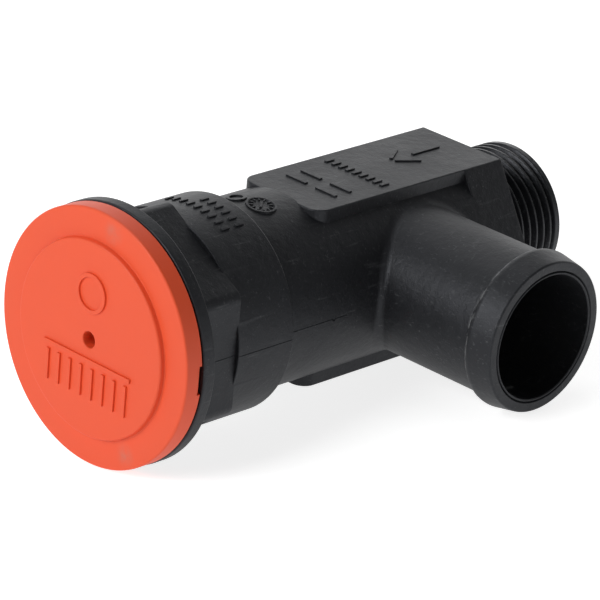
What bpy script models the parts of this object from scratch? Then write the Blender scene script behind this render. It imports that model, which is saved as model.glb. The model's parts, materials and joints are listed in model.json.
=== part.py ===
"""Spring-loaded safety valve with a male thread inlet and a hose tail at right angles.

Units are metres and +Z is up. The origin is the centre of the inlet's seating face, where the thread
meets its hexagon. The thread points along +X, the cap is at -X and the hose tail points along -Y.
"""
import math

import bmesh
import bpy
from mathutils import Matrix

# Clearances
GAP = 0.0003                     # between pieces that touch
MELT = 0.0006                    # overlap of two shapes that are moulded as one
SLIDE_GAP = 0.0003               # between the guide bore and the rings that slide in it

# Inlet: male pipe thread and the hexagon that it is tightened by
THREAD_R = 0.01646
THREAD_LENGTH = 0.0179
THREAD_LEAD_IN = 0.0003
THREAD_WALL = 0.00446
INLET_BORE_R = THREAD_R - THREAD_WALL
INLET_BORE_CHAMFER = 0.0008
INLET_HEX_FLATS = 0.04126
INLET_HEX_LENGTH = 0.0120

# Barrel from the inlet hexagon to the shoulder, with the pads that carry on two of the hexagon's flats
GUIDE_BORE_R = 0.0179
BARREL_WALL = 0.00343
BARREL_R = GUIDE_BORE_R + BARREL_WALL
BARREL_LENGTH = 0.0629
PAD_LENGTH = 0.0459
PAD_CORNER_R = 0.0035

# Spring housing with its hexagon and flange
BONNET_BORE_R = 0.0206
HOUSING_WALL = 0.0035
HOUSING_R = BONNET_BORE_R + HOUSING_WALL
HOUSING_LENGTH = 0.0161
HOUSING_HEX_DROP = 0.00105       # from the housing's side down to the hexagon's flats
HOUSING_HEX_FLATS = 2 * (HOUSING_R - HOUSING_HEX_DROP)
HOUSING_HEX_LENGTH = 0.0112
HOUSING_HEX_CORNER_R = 0.0016
FLANGE_BRIM = 0.001914           # from the hexagon's sharp corners out to the flange's edge
FLANGE_R = HOUSING_HEX_FLATS / math.sqrt(3) + FLANGE_BRIM
FLANGE_THICKNESS = 0.00295
FLANGE_CONE_LENGTH = 0.0044

# Side outlet with its hose tail
OUTLET_X = 0.0292                # from the seating face back to the outlet's axis
TAIL_REACH = 0.0539
TAIL_SHOULDER = 0.0047           # from the tail's side out to the barrel's
TAIL_R = BARREL_R - TAIL_SHOULDER
TAIL_WALL = 0.00253
TAIL_BORE_R = TAIL_R - TAIL_WALL
COLLAR_LENGTH = 0.0073
COLLAR_RISE = 0.0013             # at the crest that holds the hose
COLLAR_RAMP = 0.0014             # from the crease where the collar starts to its crest
COLLAR_TAPER = 0.0009            # from the crest down to the mouth
TAIL_LIP = 0.0005
ROOT_FILLET = 0.0017             # where the tail grows out of the barrel

# Bores of the body
LIP_CLEARANCE = 0.0026           # from the outlet bore's edge to the lip that carries the seat
LIP_THICKNESS = 0.0030
LIP_LEDGE = 0.0011               # that the seat ring's flange rests on
LIP_BORE_R = INLET_BORE_R - LIP_LEDGE
HOUSING_FLOOR = 0.0026
BONNET_LEDGE = 0.0006            # that the bonnet plate rests on
HOUSING_BORE_R = BONNET_BORE_R - BONNET_LEDGE
BONNET_MOUTH_CHAMFER = 0.0005

# Seat ring, with its O-ring and circlip
SEAT_WALL = 0.0020
SEAT_BORE_R = LIP_BORE_R - GAP - SEAT_WALL
SEAT_NOSE_WALL = 0.0008
SEAT_NOSE_R = SEAT_BORE_R + SEAT_NOSE_WALL
SEAT_NOSE_REACH = 0.0019         # past the lip, towards the sealing disc
SEAT_FLANGE_LENGTH = 0.0040
SEAT_NOSE_TAPER = 0.0012
SEAT_GROOVE_WIDTH = 0.0020
SEAT_O_RING_SECTION = 0.0014
CIRCLIP_THICKNESS = 0.0012
CIRCLIP_GROOVE_DEPTH = 0.0009
CIRCLIP_BAND = 0.0016
CIRCLIP_EAR = 0.0030
CIRCLIP_HOLE_R = 0.0006
CIRCLIP_GAP_DEG = 44.0

# Piston, its sealing disc and what holds the disc
DISC_MARGIN = 0.0022             # from the seat's nose out to the disc's edge
DISC_R = SEAT_NOSE_R + DISC_MARGIN
DISC_THICKNESS = 0.0025
DISC_PROUD = 0.0009              # of the piston's rim
PISTON_RIM = 0.0019
PISTON_FRONT_LENGTH = 0.0044
PISTON_STEM_R = 0.0075
PISTON_FRONT_SLOPE = 3.0         # rise over run of the cone behind the front
PISTON_HEAD_CLEARANCE = 0.0022   # from the outlet bore's edge to the piston's head
RING_PROUD = 0.0002              # that the rings stand out of the piston's head
PISTON_HEAD_R = GUIDE_BORE_R - SLIDE_GAP - RING_PROUD
PISTON_HEAD_LENGTH = 0.0135
PISTON_BOSS_R = 0.0080
PISTON_BOSS_LENGTH = 0.0045
WASHER_MARGIN = 0.0018           # from the washer's edge out to the seat's bore
WASHER_R = SEAT_BORE_R - WASHER_MARGIN
WASHER_THICKNESS = 0.0012
SCREW_R = 0.00235
SCREW_GRIP = 0.0080              # thread engagement in the piston
SCREW_HEAD_FLATS = 0.0080
SCREW_HEAD_HEIGHT = 0.0030

# Rings in the piston's head
RING_GROOVE_START = 0.0020       # from the head's front face
O_RING_SECTION = 0.0026
BACKUP_THICKNESS = 0.0014
LAND_BETWEEN_GROOVES = 0.0015
GUIDE_RING_WIDTH = 0.0030
GUIDE_RING_THICKNESS = 0.0014
GUIDE_RING_SLIT = 0.0010

# Spring and its plates
WIRE_R = 0.0017
SPRING_MARGIN = 0.0051           # from the spring out to the housing's bore
SPRING_MEAN_R = HOUSING_BORE_R - SPRING_MARGIN - WIRE_R
PLATE_RIM = 0.0011
PLATE_R = SPRING_MEAN_R + WIRE_R + PLATE_RIM
LOWER_PLATE_THICKNESS = 0.0020
LOWER_PLATE_COLLAR = 0.0030
END_TURNS = 1.0
ACTIVE_TURNS = 2.8
UPPER_PLATE_THICKNESS = 0.0025
UPPER_PLATE_BOSS = 0.0030
PLATE_COLLAR_CLEARANCE = 0.0007  # between a plate's collar and the spring's inside

# Adjuster, bonnet plate and retaining ring
RING_DEPTH = 0.00425             # from the flange face to the retaining ring's outer side
RING_THICKNESS = 0.0016
RING_GROOVE_DEPTH = 0.0013
RING_BAND = 0.0030
RING_EAR = 0.0052
RING_HOLE_R = 0.0009
RING_GAP_DEG = 30.0
BONNET_THICKNESS = 0.0055
PIN_HOLE_COUNT = 4
PIN_HOLE_R = 0.0018
PIN_HOLE_MARGIN = 0.0060         # from the bonnet bore in to the pin holes' middles
PIN_HOLE_CIRCLE_R = BONNET_BORE_R - PIN_HOLE_MARGIN
UPPER_PLATE_SPACE = 0.0037       # from the bonnet plate to the upper spring plate
BALL_R = 0.0030
BALL_SPACE = 0.0016              # between the upper plate and the adjuster's tip
ADJUSTER_R = 0.0060
ADJUSTER_TIP_CHAMFER = 0.0008
ADJUSTER_STAND_OUT = 0.0053      # past the bonnet plate
ADJUSTER_SOCKET_WALL = 0.0030
ADJUSTER_SOCKET_FLATS = 2 * (ADJUSTER_R - ADJUSTER_SOCKET_WALL)
ADJUSTER_SOCKET_DEPTH = 0.0060
LOCK_NUT_WALL = 0.0035           # from the adjuster out to the nut's flats
LOCK_NUT_FLATS = 2 * (ADJUSTER_R + LOCK_NUT_WALL)
LOCK_WASHER_THICKNESS = 0.0010
LOCK_WASHER_BRIM = 0.00003       # past the nut's corners
LOCK_WASHER_R = LOCK_NUT_FLATS / math.sqrt(3) + LOCK_WASHER_BRIM
LOCK_NUT_HEIGHT = 0.0030

# Cap
CAP_STEP = 0.00017               # from the flange's edge in to the cap's
CAP_R = FLANGE_R - CAP_STEP
CAP_RIM = 0.0044
CAP_WALL = 0.00245
CAP_EDGE_R = 0.0004
CAP_ANNULUS = 0.00611            # from the cap's edge in to its raised disc
CAP_DISC_R = CAP_R - CAP_ANNULUS
CAP_DISC_RISE = 0.0012
CAP_SPIGOT_LENGTH = 0.0030
CAP_SPIGOT_WALL = 0.0017
CAP_VENT_R = 0.0018
CAP_NOTCH_WIDTH = 0.0064
CAP_NOTCH_DEPTH = 0.0010
CAP_NOTCH_HEIGHT = 0.0011

# Facets
ROUND = 44
ROUND_SMALL = 32
RING_SIDES = 6
WIRE_SIDES_RESOLUTION = 2
POINTS_PER_TURN = 16
EDGE_STEPS = 3
HEX_CORNER_STEPS = 3
PAD_CORNER_STEPS = 5
LIP_STEPS = 3
COLLAR_STEPS = 3
FILLET_STEPS = 3
SOCKET_STEPS = 5
BALL_STEPS = 8
BALL_TURN_STEPS = 16
HOLE_STEPS = 12
PIN_HOLE_STEPS = 16
THROUGH = 3.0                    # a cutter's length over the thickness that it goes through
SHARP_ANGLE = math.radians(32.0)

# Places along the main axis, worked out from the sizes above
X_SHOULDER = -(INLET_HEX_LENGTH + BARREL_LENGTH)
X_HOUSING_END = X_SHOULDER - HOUSING_LENGTH
X_FLANGE_BACK = X_HOUSING_END - HOUSING_HEX_LENGTH
X_FACE = X_FLANGE_BACK - FLANGE_THICKNESS
X_LIP_BACK = -(OUTLET_X - TAIL_BORE_R - LIP_CLEARANCE)
X_LIP_FRONT = X_LIP_BACK + LIP_THICKNESS
X_SEAT_FLANGE = X_LIP_FRONT + GAP
X_SEAT_NOSE = X_LIP_BACK - SEAT_NOSE_REACH
X_CIRCLIP = X_SEAT_FLANGE + SEAT_FLANGE_LENGTH + GAP
X_DISC = X_SEAT_NOSE - GAP
X_HEAD = -(OUTLET_X + TAIL_BORE_R + PISTON_HEAD_CLEARANCE)
X_HEAD_BACK = X_HEAD - PISTON_HEAD_LENGTH
X_LOWER_PLATE = X_HEAD_BACK - GAP
X_SPRING_LOW = X_LOWER_PLATE - LOWER_PLATE_THICKNESS - GAP
X_HOUSING_BORE = X_SHOULDER - HOUSING_FLOOR
X_RING = X_FACE + RING_DEPTH
X_BONNET_BACK = X_RING + RING_THICKNESS + GAP
X_BONNET_FRONT = X_BONNET_BACK + BONNET_THICKNESS
X_UPPER_PLATE = X_BONNET_FRONT + UPPER_PLATE_SPACE
X_SPRING_HIGH = X_UPPER_PLATE + UPPER_PLATE_THICKNESS + GAP
X_ADJUSTER_TIP = X_UPPER_PLATE - BALL_SPACE
X_BALL = (X_UPPER_PLATE + X_ADJUSTER_TIP) / 2
X_CAP_BACK = X_FACE - GAP
X_CAP_FRONT = X_CAP_BACK - CAP_RIM


def clear_scene():
    for thing in list(bpy.data.objects):
        bpy.data.objects.remove(thing, do_unlink=True)


def material(name, colour, roughness, metallic=0.0):
    made = bpy.data.materials.new(name)
    made.use_nodes = True
    shader = made.node_tree.nodes["Principled BSDF"]
    shader.inputs["Base Color"].default_value = (*colour, 1.0)
    shader.inputs["Roughness"].default_value = roughness
    shader.inputs["Metallic"].default_value = metallic
    return made


def place(name, bm, look, at_x=0.0):
    """Make an object from a bmesh whose points are written from the part's origin."""
    bmesh.ops.translate(bm, verts=bm.verts, vec=(-at_x, 0.0, 0.0))
    bmesh.ops.recalc_face_normals(bm, faces=bm.faces)
    mesh = bpy.data.meshes.new(name)
    bm.to_mesh(mesh)
    bm.free()
    mesh.shade_smooth()
    mesh.set_sharp_from_angle(angle=SHARP_ANGLE)
    made = bpy.data.objects.new(name, mesh)
    made.location.x = at_x
    if look:
        mesh.materials.append(look)
    bpy.context.scene.collection.objects.link(made)
    return made


def turned(outline, steps=ROUND):
    """Turn a closed outline of (x, radius) points about the X axis."""
    bm = bmesh.new()
    verts = [bm.verts.new((x, 0.0, radius)) for x, radius in outline]
    edges = []
    for start, end in zip(verts, verts[1:] + verts[:1]):
        on_axis = start.co.z == 0.0 and end.co.z == 0.0
        if not on_axis:
            edges.append(bm.edges.new((start, end)))
    bmesh.ops.spin(
        bm, geom=verts + edges, cent=(0, 0, 0), axis=(1, 0, 0), dvec=(0, 0, 0),
        angle=2 * math.pi, steps=steps, use_merge=True)
    bmesh.ops.remove_doubles(bm, verts=bm.verts, dist=1e-6)
    return bm


def arc(centre, radius, start_deg, end_deg, count):
    """Points of an arc in the (x, radius) plane."""
    points = []
    for step in range(count + 1):
        angle = math.radians(start_deg + (end_deg - start_deg) * step / count)
        points.append((centre[0] + radius * math.cos(angle), centre[1] + radius * math.sin(angle)))
    return points


def hexagon(flats, x_low, x_high, turn_deg=0.0, corner_r=0.0):
    """A hexagonal bar along X. At zero turn two of its flats face up and down."""
    bm = bmesh.new()
    bmesh.ops.create_cone(
        bm, cap_ends=True, segments=6, radius1=flats / math.sqrt(3), radius2=flats / math.sqrt(3),
        depth=x_high - x_low)
    turn = Matrix.Rotation(math.radians(turn_deg), 4, "X") @ Matrix.Rotation(math.radians(90), 4, "Y")
    bmesh.ops.transform(bm, verts=bm.verts, matrix=turn)
    bmesh.ops.translate(bm, verts=bm.verts, vec=((x_low + x_high) / 2, 0, 0))
    if corner_r:
        long_edges = [edge for edge in bm.edges if abs(edge.verts[0].co.x - edge.verts[1].co.x) > GAP]
        bmesh.ops.bevel(
            bm, geom=long_edges, offset=corner_r, affect="EDGES", segments=HEX_CORNER_STEPS,
            profile=0.5, material=-1)
    return bm


def bar(x, y, z, radius, length, axis="X", steps=ROUND_SMALL):
    """A round bar whose middle is at (x, y, z)."""
    bm = bmesh.new()
    bmesh.ops.create_cone(
        bm, cap_ends=True, segments=steps, radius1=radius, radius2=radius, depth=length)
    if axis == "X":
        bmesh.ops.transform(bm, verts=bm.verts, matrix=Matrix.Rotation(math.radians(90), 4, "Y"))
    bmesh.ops.translate(bm, verts=bm.verts, vec=(x, y, z))
    return bm


def block(low, high):
    """A box between two corners."""
    bm = bmesh.new()
    bmesh.ops.create_cube(bm, size=1.0)
    size = [top - bottom for bottom, top in zip(low, high)]
    middle = [(top + bottom) / 2 for bottom, top in zip(low, high)]
    bmesh.ops.scale(bm, vec=size, verts=bm.verts)
    bmesh.ops.translate(bm, vec=middle, verts=bm.verts)
    return bm


def tool(name, bm):
    """A shape that only joins or cuts another and isn't a piece by itself."""
    made = place(name, bm, None)
    made.hide_render = True
    made.display_type = "WIRE"
    return made


def combine(target, operation, *tools):
    for other in tools:
        modifier = target.modifiers.new(other.name, "BOOLEAN")
        modifier.operation = operation
        modifier.object = other
        modifier.solver = "EXACT"


def to_outlet(bm):
    """Carry a shape turned about X to the outlet, with its +X end pointing along -Y."""
    bmesh.ops.transform(bm, verts=bm.verts, matrix=Matrix.Rotation(math.radians(-90), 4, "Z"))
    bmesh.ops.translate(bm, verts=bm.verts, vec=(-OUTLET_X, 0, 0))
    return bm


def body_outline():
    """The turned parts of the body's outside, as one solid."""
    return [
        (THREAD_LENGTH, 0.0),
        (THREAD_LENGTH, THREAD_R - THREAD_LEAD_IN),
        (THREAD_LENGTH - THREAD_LEAD_IN, THREAD_R),
        (-INLET_HEX_LENGTH + MELT, THREAD_R),
        (-INLET_HEX_LENGTH + MELT, BARREL_R),
        (X_SHOULDER, BARREL_R),
        (X_SHOULDER, HOUSING_R - 2 * GAP),
        (X_SHOULDER - 2 * GAP, HOUSING_R),
        (X_HOUSING_END, HOUSING_R),
        (X_HOUSING_END, HOUSING_HEX_FLATS / 2 - GAP),
        (X_FLANGE_BACK + FLANGE_CONE_LENGTH, HOUSING_HEX_FLATS / 2 - GAP),
        (X_FLANGE_BACK, FLANGE_R),
        (X_FACE, FLANGE_R),
        (X_FACE, 0.0),
    ]


def tail_outline():
    """The hose tail's outside from its collar to its mouth, as (reach from the main axis, radius) points."""
    collar_start = TAIL_REACH - COLLAR_LENGTH
    barb = []
    for step in range(COLLAR_STEPS + 1):
        share = step / COLLAR_STEPS
        barb.append((
            collar_start + COLLAR_RAMP * share, TAIL_R + COLLAR_RISE * math.sin(math.pi / 2 * share)))
    mouth_r = TAIL_R + COLLAR_RISE - COLLAR_TAPER
    lip = arc((TAIL_REACH - TAIL_LIP, mouth_r - TAIL_LIP), TAIL_LIP, 90, 0, LIP_STEPS)
    return [*barb, *lip]


def barrel_depth(z):
    """How far the barrel's side reaches towards the tail at a height."""
    return math.sqrt(BARREL_R ** 2 - z ** 2)


def hose_tail():
    """The tail as rings, from inside the barrel over the hollow at its root and out to its mouth.

    A ring has its radius, its shares of the barrel's depth under the tail and under the hollow's skirt, and
    its reach past them.
    """
    skirt_r = TAIL_R + ROOT_FILLET
    rings = [(skirt_r, 0.0, 0.0, GUIDE_BORE_R / 2)]
    for step in range(FILLET_STEPS + 1):
        on_tail = (step / FILLET_STEPS) ** 2
        on_skirt = (1 - step / FILLET_STEPS) ** 2
        rings.append((TAIL_R + ROOT_FILLET * on_skirt, 1 - on_skirt, on_skirt, ROOT_FILLET * on_tail))
    rings += [(radius, 0.0, 0.0, reach) for reach, radius in tail_outline()]
    bm = bmesh.new()
    loops = []
    for number, (radius, root_share, skirt_share, reach) in enumerate(rings):
        is_end = number in (0, len(rings) - 1)
        ring = bmesh.ops.create_circle(bm, cap_ends=is_end, segments=ROUND, radius=radius)["verts"]
        for vert in ring:
            side = vert.co.y / radius
            root_depth = barrel_depth(TAIL_R * side)
            skirt_depth = barrel_depth(skirt_r * side) - GAP / 3
            depth = root_share * root_depth + skirt_share * skirt_depth + reach
            vert.co = (vert.co.x - OUTLET_X, -depth, vert.co.y)
        inside = set(ring)
        loops.append([edge for edge in bm.edges if edge.verts[0] in inside and edge.verts[1] in inside])
    for first, second in zip(loops, loops[1:]):
        bmesh.ops.bridge_loops(bm, edges=first + second)
    return bm


def bore_outline():
    """The body's stepped bore, from outside the inlet to outside the flange."""
    groove = BONNET_BORE_R + RING_GROOVE_DEPTH
    clip_groove = INLET_BORE_R + CIRCLIP_GROOVE_DEPTH
    past = 2 * GAP
    return [
        (THREAD_LENGTH + past, 0.0),
        (THREAD_LENGTH + past, INLET_BORE_R + INLET_BORE_CHAMFER + past),
        (THREAD_LENGTH - INLET_BORE_CHAMFER, INLET_BORE_R),
        (X_CIRCLIP + CIRCLIP_THICKNESS + GAP, INLET_BORE_R),
        (X_CIRCLIP + CIRCLIP_THICKNESS + GAP, clip_groove),
        (X_CIRCLIP - GAP, clip_groove),
        (X_CIRCLIP - GAP, INLET_BORE_R),
        (X_LIP_FRONT, INLET_BORE_R),
        (X_LIP_FRONT, LIP_BORE_R),
        (X_LIP_BACK, LIP_BORE_R),
        (X_LIP_BACK, GUIDE_BORE_R),
        (X_HOUSING_BORE, GUIDE_BORE_R),
        (X_HOUSING_BORE, HOUSING_BORE_R),
        (X_BONNET_FRONT + GAP, HOUSING_BORE_R),
        (X_BONNET_FRONT + GAP, BONNET_BORE_R),
        (X_RING + RING_THICKNESS + GAP, BONNET_BORE_R),
        (X_RING + RING_THICKNESS + GAP, groove),
        (X_RING - GAP, groove),
        (X_RING - GAP, BONNET_BORE_R),
        (X_FACE + BONNET_MOUTH_CHAMFER, BONNET_BORE_R),
        (X_FACE - past, BONNET_BORE_R + BONNET_MOUTH_CHAMFER + past),
        (X_FACE - past, 0.0),
    ]


def inlet_hexagon_with_pads():
    """The tightening hexagon, with its upper and lower flats carried on as a slab through the barrel."""
    bm = hexagon(INLET_HEX_FLATS, -INLET_HEX_LENGTH, 0.0)
    for side in (-1, 1):
        ends = [
            vert for vert in bm.verts
            if vert.co.x < -GAP and abs(vert.co.z) > GAP and vert.co.y * side > 0]
        bmesh.ops.connect_verts(bm, verts=ends)
    middle = [
        face for face in bm.faces
        if face.calc_center_median().x < -INLET_HEX_LENGTH + GAP
        and abs(face.calc_center_median().y) < GAP]
    grown = bmesh.ops.extrude_discrete_faces(bm, faces=middle)
    bmesh.ops.translate(bm, vec=(-PAD_LENGTH, 0, 0), verts=grown["faces"][0].verts)
    corners = [
        edge for edge in bm.edges
        if all(vert.co.x < -INLET_HEX_LENGTH - GAP for vert in edge.verts)
        and edge.verts[0].co.z * edge.verts[1].co.z < 0]
    bmesh.ops.bevel(
        bm, geom=corners, offset=PAD_CORNER_R, affect="EDGES", segments=PAD_CORNER_STEPS,
        profile=0.5, material=-1)
    return bm


def pad_half_width():
    return INLET_HEX_FLATS / 2 * math.tan(math.radians(30))


def valve_body():
    body = place("valve_body", turned(body_outline()), material("black_nylon", (0.018, 0.019, 0.021), 0.5))
    inlet_hex = tool("inlet_hex", inlet_hexagon_with_pads())
    # The housing's hexagon has two of its flats facing the hose tail and away from it
    housing_hex = tool("housing_hex", hexagon(
        HOUSING_HEX_FLATS, X_FACE + MELT, X_HOUSING_END + MELT, 30.0, HOUSING_HEX_CORNER_R))
    # The pads are cut into the barrel's crest, which is a little higher than they are
    pad_floor = INLET_HEX_FLATS / 2 - MELT
    half_width = pad_half_width() - MELT
    crests = [
        tool(f"crest_{name}", block(
            (-INLET_HEX_LENGTH - PAD_LENGTH + MELT, -half_width, low),
            (-INLET_HEX_LENGTH / 2, half_width, high)))
        for name, low, high in (("top", pad_floor, HOUSING_R), ("bottom", -HOUSING_R, -pad_floor))]
    combine(body, "DIFFERENCE", *crests)
    tail = tool("tail", hose_tail())
    bores = tool("bores", turned(bore_outline()))
    outlet_bore = tool("outlet_bore", to_outlet(turned([
        (0.0, 0.0), (0.0, TAIL_BORE_R), (TAIL_REACH + GAP, TAIL_BORE_R), (TAIL_REACH + GAP, 0.0)])))
    combine(body, "UNION", inlet_hex, housing_hex, tail)
    combine(body, "DIFFERENCE", bores, outlet_bore)


def cap():
    spigot_r = BONNET_BORE_R - GAP
    inner_r = spigot_r - CAP_SPIGOT_WALL
    inner_x = X_CAP_FRONT + CAP_WALL
    disc_x = X_CAP_FRONT - CAP_DISC_RISE
    edge = arc((X_CAP_FRONT + CAP_EDGE_R, CAP_R - CAP_EDGE_R), CAP_EDGE_R, 90, 180, EDGE_STEPS)
    outline = [
        (X_CAP_BACK + CAP_SPIGOT_LENGTH, inner_r),
        (X_CAP_BACK + CAP_SPIGOT_LENGTH, spigot_r - GAP),
        (X_CAP_BACK + CAP_SPIGOT_LENGTH - GAP, spigot_r),
        (X_CAP_BACK, spigot_r),
        (X_CAP_BACK, CAP_R),
        *edge,
        (X_CAP_FRONT, CAP_DISC_R + CAP_DISC_RISE / 2),
        (disc_x + CAP_DISC_RISE / 2, CAP_DISC_R),
        (disc_x, CAP_DISC_R - CAP_DISC_RISE / 2),
        (disc_x, CAP_VENT_R),
        (inner_x, CAP_VENT_R),
        (inner_x, inner_r),
    ]
    made = place("cap", turned(outline), material("orange_cap", (0.80, 0.115, 0.045), 0.45), X_CAP_BACK)
    notch = tool("cap_notch", block(
        (X_CAP_BACK - CAP_NOTCH_HEIGHT, -CAP_R - CAP_NOTCH_DEPTH, -CAP_NOTCH_WIDTH / 2),
        (X_CAP_BACK + CAP_NOTCH_HEIGHT, -CAP_R + CAP_NOTCH_DEPTH, CAP_NOTCH_WIDTH / 2)))
    combine(made, "DIFFERENCE", notch)


def seat_ring():
    flange_r = INLET_BORE_R - GAP
    sleeve_r = LIP_BORE_R - GAP
    x_end = X_SEAT_FLANGE + SEAT_FLANGE_LENGTH
    groove_r = flange_r - SEAT_O_RING_SECTION - GAP
    x_groove = X_SEAT_FLANGE + (SEAT_FLANGE_LENGTH - SEAT_GROOVE_WIDTH) / 2
    outline = [
        (x_end, SEAT_BORE_R + GAP),
        (x_end, flange_r),
        (x_groove + SEAT_GROOVE_WIDTH, flange_r),
        (x_groove + SEAT_GROOVE_WIDTH, groove_r),
        (x_groove, groove_r),
        (x_groove, flange_r),
        (X_SEAT_FLANGE, flange_r),
        (X_SEAT_FLANGE, sleeve_r),
        (X_SEAT_NOSE + SEAT_NOSE_TAPER, sleeve_r),
        (X_SEAT_NOSE, SEAT_NOSE_R),
        (X_SEAT_NOSE, SEAT_BORE_R),
        (x_end - GAP, SEAT_BORE_R),
    ]
    place("seat_ring", turned(outline, ROUND_SMALL), material("stainless", (0.62, 0.62, 0.61), 0.28, 1.0))
    section_r = SEAT_O_RING_SECTION / 2
    centre = (x_groove + SEAT_GROOVE_WIDTH / 2, flange_r - section_r)
    ring = arc(centre, section_r, 0, 360 - 360 / RING_SIDES, RING_SIDES - 1)
    place("seat_o_ring", turned(ring, ROUND_SMALL), material("nitrile_static", (0.012, 0.012, 0.012), 0.6))


def clip(name, x, thickness, outer_r, band, ear, hole_r, gap_deg, look):
    """A circlip with its opening at the top: a plain band that widens inwards to two drilled ears."""
    half_gap = gap_deg / 2
    ear_deg = math.degrees(ear / outer_r)
    inner_r = outer_r - band
    ear_r = outer_r - ear
    count = ROUND_SMALL
    outer = []
    inner = []
    for step in range(count + 1):
        angle = half_gap + (360 - 2 * half_gap) * step / count
        from_end = min(angle - half_gap, 360 - half_gap - angle)
        reach = ear_r if from_end < ear_deg else inner_r
        turn = math.radians(90 + angle)
        outer.append((x, outer_r * math.cos(turn), outer_r * math.sin(turn)))
        inner.append((x, reach * math.cos(turn), reach * math.sin(turn)))
    bm = bmesh.new()
    outer_verts = [bm.verts.new(point) for point in outer]
    inner_verts = [bm.verts.new(point) for point in inner]
    for step in range(count):
        bm.faces.new((outer_verts[step], outer_verts[step + 1], inner_verts[step + 1], inner_verts[step]))
    grown = bmesh.ops.extrude_face_region(bm, geom=list(bm.faces))
    new_verts = [item for item in grown["geom"] if isinstance(item, bmesh.types.BMVert)]
    bmesh.ops.translate(bm, vec=(thickness, 0, 0), verts=new_verts)
    made = place(name, bm, look)
    hole_circle_r = outer_r - ear / 2
    for side in (-1, 1):
        turn = math.radians(90 + side * (half_gap + ear_deg / 2))
        hole = tool(f"{name}_hole_{side}", bar(
            x + thickness / 2, hole_circle_r * math.cos(turn), hole_circle_r * math.sin(turn),
            hole_r, thickness * THROUGH, steps=HOLE_STEPS))
        combine(made, "DIFFERENCE", hole)


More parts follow.
